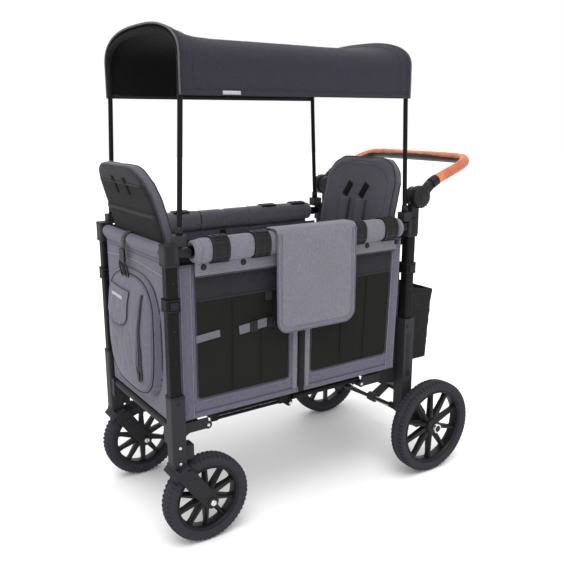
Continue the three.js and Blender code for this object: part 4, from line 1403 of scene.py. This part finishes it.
def flap_point(u, place, lift=0.0):
    """u across the flap, place a (y, z) of its path."""
    x = FLAP_X[0] + (FLAP_X[1] - FLAP_X[0]) * u
    y, z = place
    hang = min(1, max(0, (0.735 - z) / 0.15))
    here = Vector((x, 0, z))
    wave = 0.0014 * wrinkle(here, 0.11, 2.0) * hang + 0.0007 * creased(here, (1.4, 1, 0.7), 0.05, 1.0) * hang
    wave -= 0.0008 * hang * math.sin(math.pi * u)
    over = 0.0 if z > 0.749 else 1.0
    return at(x, y - wave - lift * over, z + lift * (1 - over) * 0.6)


def make_flap():
    columns, rows = 56, 70
    path = flap_path(rows)
    corner = 0.032
    vertices = []
    for j, place in enumerate(path):
        for i in range(columns + 1):
            u = i / columns
            x = FLAP_X[0] + (FLAP_X[1] - FLAP_X[0]) * u
            # rounds the lower corners by drawing the outer columns inward
            rise = FLAP_LOW + corner - place[1]
            inset = corner - math.sqrt(max(0.0, corner ** 2 - rise ** 2)) if rise > 0 else 0.0
            middle = sum(FLAP_X) / 2
            half = (FLAP_X[1] - FLAP_X[0]) / 2
            scaled = 0.5 + (x - middle) / (2 * half) * (half - inset) / half
            vertices.append(flap_point(scaled, place))
    wide = columns + 1
    faces = [(j * wide + i, j * wide + i + 1, (j + 1) * wide + i + 1, (j + 1) * wide + i)
             for j in range(rows) for i in range(columns)]
    flap = new_object("side_flap_cloth", vertices, faces, GREY_LIGHT)
    modifier(flap, "SOLIDIFY", thickness=2.6 * MM, offset=0)
    apply_modifiers(flap)
    outward(flap)
    folds(flap)
    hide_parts("side_flap")

    def edge_line(inset, lift, count=200):
        x0, x1 = FLAP_X[0] + inset, FLAP_X[1] - inset
        low = FLAP_LOW + inset
        radius = corner - inset
        points = [(x0, 0.744)]
        for k in range(9):
            turn = math.pi + math.pi / 2 * k / 8
            points.append((x0 + radius + radius * math.cos(turn), low + radius + radius * math.sin(turn)))
        for k in range(9):
            turn = 1.5 * math.pi + math.pi / 2 * k / 8
            points.append((x1 - radius + radius * math.cos(turn), low + radius + radius * math.sin(turn)))
        points.append((x1, 0.744))
        line = even_line([(x, z, 0) for x, z in points], count)
        return [flap_point((p.x - FLAP_X[0]) / (FLAP_X[1] - FLAP_X[0]), (-FLAP_OUT, p.y), lift) for p in line]

    extras = [sweep("flap_binding", edge_line(0.0005, 0.0), circle(2.7 * MM, 8), GREY)]
    extras.append(stitches("flap_stitch", edge_line(0.0085, 0.0015), THREAD_DARK))
    extras.append(stitches("flap_stitch", edge_line(0.0125, 0.0015), THREAD_DARK))
    extras.append(plate("magnet_tab", rounded(0.020, 0.022, 0.005), 3 * MM,
                        at(FLAP_X[0] - 0.004, -0.2060, 0.590),
                        (0, -1, 0), (0, 0, 1), GREY_DARK, 0.001))
    trim = join("side_flap_trim", extras)
    folds(trim)


# ---------------------------------------------------------------- end panels
PANEL_Y = 0.176
POUCH_Y = 0.152
POUCH_LOW = 0.340
POUCH_HIGH = 0.650
POUCH_DEEP = 0.030


def pouch_bulge(y, z):
    """How far the pouch stands out: full in its lower half, tapering to its mouth."""
    centre = (POUCH_LOW + POUCH_HIGH) / 2
    tall = (POUCH_HIGH - POUCH_LOW) / 2
    a = abs(y) / POUCH_Y
    b = abs(z - centre) / tall
    reach = (a ** 3.2 + b ** 3.2) ** (1 / 3.2)
    if reach >= 1:
        return 0.0
    full = (1 - reach ** 5) ** 0.5
    upper = max(0.0, (z - centre) / tall)
    return POUCH_DEEP * full * (1 - 0.55 * upper ** 1.5)


def panel_point(y, z, lift=0.0):
    here = Vector((0, y, z))
    bulge = pouch_bulge(y, z)
    soft = min(1, max(0, 1 - (abs(y) / PANEL_Y) ** 6))
    ripple = 0.0018 * wrinkle(here, 0.07, 9.0) + 0.0012 * creased(here, (1, 0.5, 1.2), 0.045, 4.0)
    return at(-0.3615 - bulge - lift - ripple * soft * (0.4 + bulge / POUCH_DEEP), y, z)


def make_front_panel():
    ys, zs = steps([-PANEL_Y, PANEL_Y], 0.006), steps([0.316, 0.700], 0.006)
    # over the cross tube and down on the inside
    wrap = [(-0.358 - 0.0142 * math.cos(t),
             0.7205 + 0.0142 * math.sin(t)) for t in np.linspace(-0.5, math.pi + 0.4, 16)]
    wrap += [(-0.3440, 0.700), (-0.3445, 0.660)]
    vertices = []
    for z in zs:
        vertices += [panel_point(y, z) for y in ys]
    for x, z in wrap:
        vertices += [at(x + 0.0006 * wrinkle((y, z, x), 0.04), y,
                        z + 0.0008 * wrinkle((y, z, x), 0.05, 3)) for y in ys]
    wide = len(ys)
    rows = len(zs) + len(wrap)
    faces = [(j * wide + i, j * wide + i + 1, (j + 1) * wide + i + 1, (j + 1) * wide + i)
             for j in range(rows - 1) for i in range(wide - 1)]
    panel = new_object("front_panel_cloth", vertices, faces, GREY)
    modifier(panel, "SOLIDIFY", thickness=1.6 * MM, offset=0)
    apply_modifiers(panel)
    outward(panel)
    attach(panel, "front_frame")
    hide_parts("front_panel")
    extras = []
    centre = (POUCH_LOW + POUCH_HIGH) / 2
    tall = (POUCH_HIGH - POUCH_LOW) / 2

    def pouch_ring(scale, lift, count=160):
        ring = []
        for k in range(count):
            turn = 2 * math.pi * k / count
            c, s = math.cos(turn), math.sin(turn)
            y = POUCH_Y * scale * math.copysign(abs(c) ** (2 / 3.2), c)
            z = centre + tall * scale * math.copysign(abs(s) ** (2 / 3.2), s)
            ring.append(panel_point(y, z, lift))
        return even_line(ring, count, True)

    extras.append(sweep("pouch_piping", pouch_ring(1.0, 0.0016), circle(2.2 * MM, 8), PIPING, closed=True))
    extras.append(sweep("pouch_piping", pouch_ring(0.93, 0.0008), circle(1.7 * MM, 8), GREY_DARK,
                        closed=True))
    extras.append(stitches("pouch_stitch", pouch_ring(0.90, 0.0012), THREAD_DARK, closed=True))
    # flap pocket on the pouch, with its tape
    flap_y, flap_z, flap_wide, flap_tall = 0.050, 0.552, 0.138, 0.094
    shape = [(-flap_wide / 2, flap_tall / 2), (-flap_wide / 2, -flap_tall * 0.1)]
    shape += [(-flap_wide / 2 * math.cos(t), -flap_tall * 0.1 - flap_tall * 0.4 * math.sin(t))
              for t in np.linspace(0.1, math.pi - 0.1, 12)]
    shape += [(flap_wide / 2, -flap_tall * 0.1), (flap_wide / 2, flap_tall / 2)]
    path = even_line([(a, b, 0) for a, b in shape + shape[:1]], 110, True)
    across = [panel_point(flap_y + p.x, flap_z + p.y, 0.0030) for p in path]
    lid_rows = 20
    vertices, faces = [], []
    for j in range(lid_rows + 1):
        share = j / lid_rows
        for p in path:
            vertices.append(panel_point(flap_y + p.x * share, flap_z + p.y * share, 0.0034))
    for j in range(lid_rows):
        for k in range(len(path)):
            m = (k + 1) % len(path)
            faces.append((j * len(path) + k, j * len(path) + m, (j + 1) * len(path) + m,
                          (j + 1) * len(path) + k))
    lid = new_object("pocket_lid", vertices, faces, GREY)
    modifier(lid, "SOLIDIFY", thickness=2.2 * MM, offset=0)
    extras.append(lid)
    extras.append(sweep("pocket_piping", across, circle(1.8 * MM, 8), PIPING, closed=True))
    tape = [panel_point(flap_y + a, flap_z + 0.026, 0.0050) for a in np.linspace(-0.036, 0.036, 20)]
    extras.append(sweep("pocket_tape", tape, rounded(9 * MM, 1.2 * MM, 0.5 * MM, 2), REFLECTIVE,
                        up=(-1, 0, 0)))
    # slack teardrop fold down the near half of the pouch, with a piped edge; its inside is a dark grey sheet
    # painted as the fold's shade
    def fold_edge(share):
        """Half width of the fold, narrow at its top and full near its foot."""
        return 0.0025 + 0.0135 * share ** 1.6 * (1 - max(0.0, (share - 0.86) / 0.14) ** 2) ** 0.5

    fold_rows, fold_columns = 44, 8
    vertices, faces = [], []
    for j in range(fold_rows + 1):
        share = j / fold_rows
        middle_y = -0.090 + 0.008 * share
        for k in range(fold_columns + 1):
            across_y = (2 * k / fold_columns - 1) * fold_edge(share) * 0.98
            vertices.append(panel_point(middle_y + across_y, 0.606 - 0.215 * share, 0.0022))
    for j in range(fold_rows):
        for k in range(fold_columns):
            a = j * (fold_columns + 1) + k
            faces.append((a, a + 1, a + fold_columns + 2, a + fold_columns + 1))
    # dark grey sheet: painted shade inside the fold
    inset = new_object("pouch_fold", vertices, faces, GREY_DARK)
    modifier(inset, "SOLIDIFY", thickness=1.6 * MM, offset=0)
    extras.append(inset)
    for sign in (-1, 1):
        edge = [panel_point(-0.090 + 0.008 * s + sign * fold_edge(s), 0.606 - 0.215 * s, 0.0042)
                for s in np.linspace(0, 1, 60)]
        extras.append(sweep("fold_edge", even_line(edge, 70), circle(2.1 * MM, 8),
                            GREY if sign > 0 else PIPING))
    inner = [panel_point(-0.0885 + 0.006 * s, 0.596 - 0.165 * s, 0.0052) for s in np.linspace(0, 1, 40)]
    extras.append(sweep("fold_ridge", inner, circle(2.4 * MM, 8), GREY))
    extras.append(plate("zip_pull", rounded(0.010, 0.024, 0.004), 2 * MM, panel_point(-0.083, 0.405, 0.0060),
                        (-1, 0, 0), (0, 0, 1), BLACK_PLASTIC, 0.0008))
    # hem roll over the cross tube and its seam
    for z, lift in ((0.700, 0.0012), (0.692, 0.0012)):
        line = [panel_point(y, z, lift) for y in np.linspace(-0.172, 0.172, 80)]
        extras.append(stitches("hem_seam", line, THREAD_DARK))
    seam = [panel_point(y, 0.668 + 0.006 * math.cos(y * 14), 0.0010) for y in np.linspace(-0.174, 0.174, 60)]
    extras.append(sweep("yoke_seam", seam, circle(1.6 * MM, 8), PIPING_PALE))
    # carrying strap round the cross tube with two loops
    loop = [(-0.3445, 0.700), (-0.3425, 0.722), (-0.350, 0.7372), (-0.362, 0.7372), (-0.3755, 0.724),
            (-0.3765, 0.700), (-0.3765, 0.660)]
    strap = [at(x, 0.026, z) for x, z in loop]
    extras.append(sweep("strap", smooth_line(strap, 50), rounded(20 * MM, 2.2 * MM, 0.9 * MM, 2), WEB,
                        up=(-1, 0, 0.01)))
    for y in (0.012, 0.040):
        ring = [Vector((-0.377 - 0.004 * math.cos(2 * math.pi * k / 24),
                        y + 0.009 * math.sin(2 * math.pi * k / 24),
                        0.645 + 0.022 * math.cos(2 * math.pi * k / 24))) for k in range(24)]
        extras.append(sweep("strap_loop", [at(*p) for p in ring], circle(2.2 * MM, 8), BLACK_PLASTIC,
                            closed=True))
    extras.append(plate("strap_buckle", rounded(0.030, 0.034, 0.006), 6 * MM, at(-0.3790, 0.026, 0.682),
                        (-1, 0, 0), (0, 0, 1), BLACK_PLASTIC, 0.0015))
    trim = join("front_panel_trim", extras)
    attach(trim, "front_frame")
    area = sheet_area(vertices_to_area(ys, zs)) + 2 * PANEL_Y * 0.1075


def vertices_to_area(ys, zs):
    return np.array([[tuple(panel_point(y, z)) for y in ys] for z in zs])


def sheet_area(grid):
    """The area of a grid of points, as laid out flat cell by cell."""
    right = grid[:-1, 1:] - grid[:-1, :-1]
    up = grid[1:, :-1] - grid[:-1, :-1]
    return float(np.linalg.norm(np.cross(right, up), axis=2).sum())


def make_rear_panel():
    ys, zs = steps([-PANEL_Y, PANEL_Y], 0.010), steps([0.316, 0.700], 0.010)
    rows = [(0.3505, z) for z in zs]
    rows += [(0.358 + 0.0138 * math.cos(t),
              0.7205 + 0.0138 * math.sin(t)) for t in np.linspace(math.pi + 0.5, -0.4, 14)]
    rows += [(0.3705, 0.700), (0.3700, 0.660)]
    vertices = []
    for x, z in rows:
        calm = 1.0 if z < 0.69 else 0.3
        vertices += [at(x + calm * 0.0016 * wrinkle((y, z, 0), 0.08, 4.0), y, z) for y in ys]
    wide = len(ys)
    faces = [(j * wide + i, j * wide + i + 1, (j + 1) * wide + i + 1, (j + 1) * wide + i)
             for j in range(len(rows) - 1) for i in range(wide - 1)]
    panel = new_object("rear_panel_cloth", vertices, faces, GREY)
    modifier(panel, "SOLIDIFY", thickness=1.4 * MM, offset=0)
    apply_modifiers(panel)
    outward(panel)
    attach(panel, "rear_frame")
    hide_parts("rear_panel")
    extras = []
    for z in (0.330, 0.690):
        for x in (0.3490, 0.3520):
            line = [at(x, y, z) for y in np.linspace(-0.172, 0.172, 60)]
            extras.append(stitches("panel_stitch", line, THREAD_DARK))
    trim = join("rear_panel_trim", extras)
    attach(trim, "rear_frame")


# ---------------------------------------------------------------- rear basket
BASKET_X = (0.3800, 0.4810)
BASKET_Y = 0.1870
BASKET_Z = (0.321, 0.5355)
BASKET_DROP = 0.019


def basket_ring(z, count=132):
    """The basket's outline at a height: fuller low down, drawn in at its corners."""
    tall = (z - BASKET_Z[0]) / (BASKET_Z[1] - BASKET_Z[0])
    x0 = BASKET_X[0]
    x1 = BASKET_X[1] - 0.014 * (1 - tall)
    outline = rounded(x1 - x0, 2 * BASKET_Y, 0.014, 5)
    ring = even_line([((x0 + x1) / 2 + a, b, z) for a, b in outline], count, True)
    result = []
    for p in ring:
        sag = 0.0
        if p.x > (x0 + x1) / 2:
            sag = 0.0025 * creased(Vector((0, p.y, z)), (1, 0.5, 1.6), 0.045, 2.0)
        drop = BASKET_DROP * tall * (p.x - x0) / (x1 - x0)
        tuck = 0.003 * abs(creased(Vector((p.x, 0, z)), (1.4, 1, 0.6), 0.05,
                                   7.0)) * math.sin(math.pi * min(1, tall))
        result.append(at(p.x - abs(sag) - 0.001, p.y * (1 - tuck / BASKET_Y), z - drop))
    return result


def make_basket():
    rows = steps([BASKET_Z[0] + 0.001, BASKET_Z[1]], 0.008)
    vertices, faces = [], []
    floor_rings = 6
    low_ring = basket_ring(rows[0])
    middle = sum((p for p in low_ring), Vector()) / len(low_ring)
    vertices.append(middle)
    for k in range(1, floor_rings):
        share = k / floor_rings
        vertices += [middle + (p - middle) * share + Vector((0, 0,
                                                             0.0008 * wrinkle(p, 0.03, k))) for p in low_ring]
    for z in rows:
        vertices += basket_ring(z)
    ring = len(low_ring)
    for k in range(ring):
        faces.append((0, 1 + k, 1 + (k + 1) % ring))
    for j in range(floor_rings - 1 + len(rows) - 1):
        for k in range(ring):
            m = (k + 1) % ring
            a = 1 + j * ring
            faces.append((a + k, a + m, a + ring + m, a + ring + k))
    bag = new_object("rear_basket_cloth", vertices, faces, NET)
    modifier(bag, "SOLIDIFY", thickness=1.8 * MM, offset=0)
    apply_modifiers(bag)
    outward(bag)
    band = BASKET_Z[1] - 0.045

    def region(centre, normal):
        x = centre.x - MIDDLE_X
        corner = abs(centre.y) > BASKET_Y - 0.02
        return 1 if centre.z > band or corner or centre.z < BASKET_Z[0] + 0.02 else 0

    paint(bag, region, [NET, BLACK_CLOTH])
    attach(bag, "rear_frame")
    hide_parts("rear_basket")
    extras = [sweep("basket_binding", basket_ring(BASKET_Z[1]), rounded(3.6 * MM, 12 * MM, 1.6 * MM, 2),
                    BLACK_CLOTH, closed=True, up=(0, 0, 1))]
    for z in (band, BASKET_Z[1] - 0.012):
        ring_points = [p + (p - middle).normalized() * 0.0009 for p in basket_ring(z)]
        extras.append(stitches("basket_stitch", ring_points, THREAD_DARK, closed=True))
    for y in (-0.120, 0.120):
        strap = [at(0.4790, y, 0.516), at(0.4745, y, 0.430)]
        extras.append(sweep("basket_strap", even_line(strap, 12), rounded(22 * MM, 2 * MM, 0.8 * MM, 2),
                            WEB, up=(1, 0, 0)))
    for side in (-1, 1):
        hanger = [at(0.3815, side * 0.176, 0.528), at(0.3788, side * 0.184, 0.560),
                  at(0.3735, side * 0.190, 0.586)]
        extras.append(sweep("basket_hanger", smooth_line(hanger, 24), rounded(18 * MM, 2 * MM, 0.8 * MM, 2),
                            WEB, up=(1, 0, 0)))
    trim = join("rear_basket_trim", extras)
    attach(trim, "rear_frame")


# ---------------------------------------------------------------- push handle
def make_handle():
    half = [(0.374, 0.219, 0.800), (0.400, 0.219, 0.824), (0.432, 0.219, 0.843), (0.483, 0.219, 0.862),
            (0.534, 0.216, 0.881), (0.559, 0.201, 0.890), (0.571, 0.172, 0.894), (0.573, 0.100, 0.895),
            (0.573, 0.0, 0.895)]
    whole = [(x, -y, z) for x, y, z in half] + list(reversed(half))[1:]
    line = smooth_line([at(*p) for p in whole], 400)
    tube = sweep("handle_tube_look", [line[0]] + line[10:-10:2] + [line[-1]], circle(8.9 * MM, 20), TUBE)
    count = len(line)
    first, last = int(0.075 * count), int(0.925 * count)
    grip_line = line[first:last + 1:2]
    section = circle(14.3 * MM, 28)
    grip = sweep("handle_grip_look", grip_line, section, LEATHER)
    modifier(grip, "SUBSURF", levels=1, render_levels=1)
    apply_modifiers(grip)

    def wrap(point, normal):
        return normal * (0.00045 * wrinkle(point, 0.02, 3.0) + 0.0002 * wrinkle(point, 0.006, 7.0) - 0.0003)

    displaced(grip, wrap)
    inside_u = at(0.44, 0, 0.88)

    def grip_side(centre, normal):
        inward = (inside_u - centre)
        inward.z = 0
        facing = inward.normalized() * 0.75 + Vector((0, 0, -0.66))
        return 1 if normal.dot(facing) > 0.42 else 0

    paint(grip, grip_side, [LEATHER, LEATHER_DARK])
    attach(grip, "handle")
    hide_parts("handle_grip")
    extras = [tube]
    # seam under the grip, and its end collars
    under = []
    for point, (tangent, normal, side) in zip(grip_line, frames_along(grip_line)):
        down = (Vector((0, 0, -1)) + tangent * tangent.z).normalized()
        under.append(point + down * 0.01435)
    seam = sweep("grip_seam", under, rounded(3.2 * MM, 1.0 * MM, 0.4 * MM, 2), PIPING, up=(0, 0, 1))
    extras.append(seam)
    extras.append(stitches("grip_stitch", [p + Vector((0, 0, -0.0004)) for p in under], THREAD, 3.4 * MM,
                           2.0 * MM, 0.5 * MM))
    for at_first, at_last in ((first - 5, first + 5), (last - 5, last + 5)):
        collar = line[at_first:at_last + 1]
        extras.append(sweep("grip_collar", collar, circle(15.4 * MM, 28), BLACK_PLASTIC))
    for _, side in SIDES:
        dial_centre = at(0.374, side * 0.219, 0.800)
        dial = [(0.0, 0.0138), (0.0098, 0.0138), (0.0104, 0.0128), (0.0185, 0.0140), (0.0262, 0.0128),
                (0.0292, 0.0088), (0.0296, 0.004), (0.0296, -0.010), (0.0282, -0.0138), (0.0, -0.0138)]
        dial = [(r, side * h) for r, h in dial]
        extras.append(lathe("dial", dial, dial_centre, (0, 1, 0), BLACK_PLASTIC, 64))
        for k in range(20):
            turn = 2 * math.pi * k / 20
            spot = dial_centre + Vector((math.cos(turn) * 0.0297, side * 0.002, math.sin(turn) * 0.0297))
            extras.append(plate("dial_rib", rounded(0.0034, 0.017, 0.001, 1), 1.2 * MM, spot,
                                spot - dial_centre - Vector((0, side * 0.002,
                                                             0)), (0, 1, 0), BLACK_PLASTIC, 0.0004))
        arm = [line[0], line[22]] if side < 0 else [line[-1], line[-23]]
        direction = (arm[1] - arm[0]).normalized()
        socket = [arm[0] + direction * d for d in (0.018, 0.050)]
        extras.append(sweep("arm_socket", even_line(socket, 4), rounded(0.026, 0.024, 0.007), BLACK_PLASTIC,
                            up=(0, 1, 0)))
        name = "near" if side < 0 else "far"
        button = [(0.0, 0.0092), (0.0058, 0.0088), (0.0083, 0.0074), (0.0089, 0.0050), (0.0089, 0.0002),
                  (0, 0.0002)]
        cap = lathe(f"handle_button_{name}_look", [(r, side * h) for r, h in button],
                    at(0.374, side * 0.228, 0.800),
                    (0, 1, 0), CASTING, 40)
        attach(cap, f"button_{name}")
        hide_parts(f"handle_button_{name}")
    look = join("handle_frame_look", extras)
    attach(look, "handle")
    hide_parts("handle_tube")


# ---------------------------------------------------------------- frame finishes and hardware
FINISHES = {"tube": TUBE, "casting": CASTING, "steel": STEEL, "tyre": TYRE, "rim": RIM}
COATED = ("post", "upper_tube", "upper_rail", "lower_rail", "rear_axle", "floor_support")


def finish_frame():
    """Better surfaces on the frame's own nodes, by the slot each one has."""
    for name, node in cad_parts.items():
        for place in node.material_slots:
            slot_name = place.material.name.split(".")[0] if place.material else ""
            made = next((finish for key, finish in FINISHES.items() if slot_name.startswith(key)), None)
            if made is None:
                made = TUBE if any(word in name for word in COATED) else CASTING
            place.material = made


def make_post_details():
    pieces = {"front_frame": [], "rear_frame": []}
    for _, side in SIDES:
        for end_name, end in ENDS:
            body = f"{end_name}_frame"
            add = pieces[body].append
            x, y = end * 0.358, side * 0.200
            # bracket: screws, a slotted cover and the pole socket's clamp
            for z in (0.704, 0.729):
                add(bolt_head("screw", at(x, y + side * 0.0180, z), (0, side, 0), 4.2 * MM, BLACK_PLASTIC))
            add(plate("bracket_cover", rounded(0.018, 0.040, 0.005), 2.2 * MM,
                      at(x + end * 0.006, y + side * 0.0188, 0.7165),
                      (0, side, 0), (0, 0, 1), BLACK_PLASTIC, 0.0008))
            add(plate("bracket_slot", rounded(0.005, 0.020, 0.002), 1.2 * MM,
                      at(x + end * 0.006, y + side * 0.0202, 0.7165), (0, side,
                                                                       0), (0, 0, 1), CASTING, 0.0004))
            for z in (0.6965, 0.7375):
                add(ring_of("bracket_ridge", x, y, z, 0.0366, 1.5 * MM, CASTING))
            # height collar on the post, with its lever
            for z in (0.5915, 0.6165):
                add(ring_of("collar_ridge", x, y, z, 0.0356, 1.6 * MM, CASTING))
            add(plate("collar_lever", rounded(0.019, 0.018, 0.003), 3.2 * MM, at(x, y + side * 0.0188, 0.604),
                      (0, side, 0), (0, 0, 1), BLACK_PLASTIC, 0.001))
            add(bolt_head("collar_pin", at(x, y + side * 0.0205, 0.604), (0, side, 0), 2.8 * MM, CASTING))
            # rivets down the post
            for z in (0.470, 0.545, 0.655):
                add(bolt_head("rivet", at(x, y + side * 0.0141, z), (0, side, 0), 2.6 * MM, CASTING))
            # pivot bolt of the upper rail
            add(bolt_head("rail_pivot", at(end * 0.320, side * 0.2122, 0.720), (0, side, 0), 6.5 * MM,
                          BLACK_PLASTIC))
    for body, made in pieces.items():
        detail = join(f"{body}_details", made)
        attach(detail, body)


def bolt_head(name, centre, axis, radius, material=None):
    height = radius * 0.5
    profile = [(0, -0.3 * radius), (radius, -0.3 * radius), (radius, height * 0.3),
               (radius * 0.85, height * 0.8),
               (radius * 0.5, height), (radius * 0.42, height), (radius * 0.4,
                                                                 height * 0.35), (0, height * 0.35)]
    return lathe(name, profile, centre, axis, material or STEEL, 20)


def ring_of(name, x, y, z, width, thickness, material):
    """A raised band round a square post."""
    line = [at(x + a, y + b, z) for a, b in rounded(width, width, 0.007, 3)]
    return sweep(name, even_line(line, 64, True), rounded(2.4 * MM, thickness, 0.5 * MM, 1), material,
                 closed=True, up=(0, 0, 1))


def fork_outline():
    """An arm of the caster fork, from above: along X and Z."""
    points = [(-0.3690, 0.2080), (-0.3340, 0.2080), (-0.3260, 0.2010), (-0.2725, 0.1235)]
    for k in range(13):
        turn = math.radians(40 - 175 * k / 12)
        points.append((-0.285 + 0.0185 * math.cos(turn), 0.110 + 0.0185 * math.sin(turn)))
    points += [(-0.3350, 0.1420), (-0.3660, 0.1860)]
    return points


def make_fork(side_name, side):
    shape = fork_outline()
    middle = np.mean(np.array(shape), axis=0)
    pieces = []
    for arm in (-1, 1):
        y = side * 0.200 + arm * 0.0311
        flat = [((px - middle[0]) * -arm, pz - middle[1]) for px, pz in shape]
        pieces.append(plate("fork_arm", flat, 9.4 * MM, at(middle[0], y, middle[1]), (0, arm, 0), (0, 0, 1),
                            CASTING, 0.0028))
    # bridge over the tyre
    span = [at(-0.285 + 0.1205 * math.cos(t), side * 0.200, 0.110 + 0.1205 * math.sin(t))
            for t in np.linspace(math.radians(118), math.radians(139), 14)]
    pieces.append(sweep("fork_bridge", span, rounded(70 * MM, 9 * MM, 3 * MM, 3), CASTING,
                        up=(-0.72, 0, 0.69)))
    crown = plate("fork_crown", rounded(0.034, 0.070, 0.010), 6 * MM, at(-0.3515, side * 0.200, 0.2050),
                  (0, 0, 1), (0, 1, 0), CASTING, 0.002)
    pieces.append(crown)
    pieces.append(sweep("fork_stem", even_line([at(-0.355, side * 0.2, 0.204),
                                                at(-0.355, side * 0.2, 0.240)], 3),
                        circle(5.9 * MM, 20), STEEL))
    pieces.append(sweep("fork_axle", even_line([at(-0.285, side * 0.2 - 0.039, 0.110),
                                                at(-0.285, side * 0.2 + 0.039, 0.110)], 3),
                        circle(4.9 * MM, 16), STEEL))
    look = join(f"caster_fork_{side_name}_look", pieces)
    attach(look, f"caster_{side_name}")
    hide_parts(f"caster_fork_{side_name}")


def make_running_gear_details():
    for side_name, side in SIDES:
        make_fork(side_name, side)
        pieces = []
        wheel = Vector((-0.285, side * 0.200, 0.110))
        for arm in (-1, 1):
            y = side * 0.200 + arm * 0.0363
            shape = fork_outline()
            middle = np.mean(np.array(shape), axis=0)
            inner = [((px - middle[0]) * -arm * 0.70, (pz - middle[1]) * 0.70) for px, pz in shape]
            pieces.append(plate("fork_panel", inner, 1.6 * MM, at(middle[0], y, middle[1]),
                                (0, arm, 0), (0, 0, 1), CASTING, 0.0006))
            pieces.append(bolt_head("axle_bolt", at(wheel.x, y + arm * 0.0050, wheel.z), (0, arm, 0),
                                    7.6 * MM))
            pieces.append(lathe("axle_washer", [(0, 0), (0.0115, 0), (0.0115, 0.0028), (0, 0.0028)],
                                at(wheel.x, y + arm * 0.0012, wheel.z), (0, arm, 0), BLACK_PLASTIC, 32))
        fork = join(f"caster_fork_{side_name}_details", pieces)
        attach(fork, f"caster_{side_name}")
        # rear wheel: slate cap over the axle's end
        cap = [(0, 0.0107), (0.0060, 0.0105), (0.0095, 0.0092), (0.0105, 0.0067), (0.0105, -0.0068),
               (0, -0.0068)]
        nut = lathe(f"axle_nut_{side_name}", [(r, side * h) for r, h in cap], at(0.422, side * 0.2768, 0.135),
                    (0, 1, 0), CASTING, 32)
        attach(nut, f"rear_wheel_{side_name}")
        fronts = []
        for z, material in ((0.222, STEEL), (0.262, STEEL), (0.372, BLACK_PLASTIC)):
            fronts.append(bolt_head("housing_screw", at(-0.356, side * 0.2181, z), (0, side, 0), 4.0 * MM,
                                    material))
        for z in (0.216, 0.384):
            fronts.append(ring_of("housing_ridge", -0.356, side * 0.200, z, 0.0366, 1.8 * MM, CASTING))
        housing = join(f"caster_housing_{side_name}_details", fronts)
        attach(housing, "front_frame")
        rears = []
        for x, z in ((0.350, 0.438), (0.366, 0.270), (0.352, 0.196), (0.422, 0.150)):
            rears.append(bolt_head("leg_screw", at(x, side * 0.2181, z), (0, side, 0), 4.6 * MM,
                                   BLACK_PLASTIC))
        rib = [at(0.358, side * 0.2180, z) for z in (0.290, 0.415)]
        rears.append(sweep("leg_rib", even_line(rib, 6), rounded(14 * MM, 2.4 * MM, 1.0 * MM, 2), CASTING,
                           up=(0, side, 0)))
        leg = join(f"rear_leg_{side_name}_details", rears)
        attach(leg, "rear_frame")


def make_pivot_details():
    """Bolt heads on the fold's pivots, each on the body whose ear it clamps."""
    places = {
        "upper_rear": [(0.0, 0.2140, 0.720, 6.0)],
        "floor_rear": [(-0.025, 0.1868, 0.286, 4.5)],
        "rear_frame": [(0.215, 0.1868, 0.286, 4.5)],
        "front_frame": [(-0.265, 0.1868, 0.286, 4.5)],
    }
    for body, spots in places.items():
        made = [bolt_head("pivot_bolt", at(x, side * y, z), (0, side, 0), radius * MM)
                for x, y, z, radius in spots for _, side in SIDES]
        detail = join(f"{body}_pivot_bolts", made)
        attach(detail, body)


finish_frame()
make_canopy()
make_hoops()
make_wheels()
for end_name, end in ENDS:
    make_seat_back(end_name, end)
    make_seat_base(end_name, end)
make_floor_mats()
make_rail_pads()
make_knee_sleeves()
for side_name, side in SIDES:
    make_side_wall(side_name, side)
make_flap()
make_front_panel()
make_rear_panel()
make_basket()
make_handle()
make_post_details()
make_running_gear_details()
make_pivot_details()
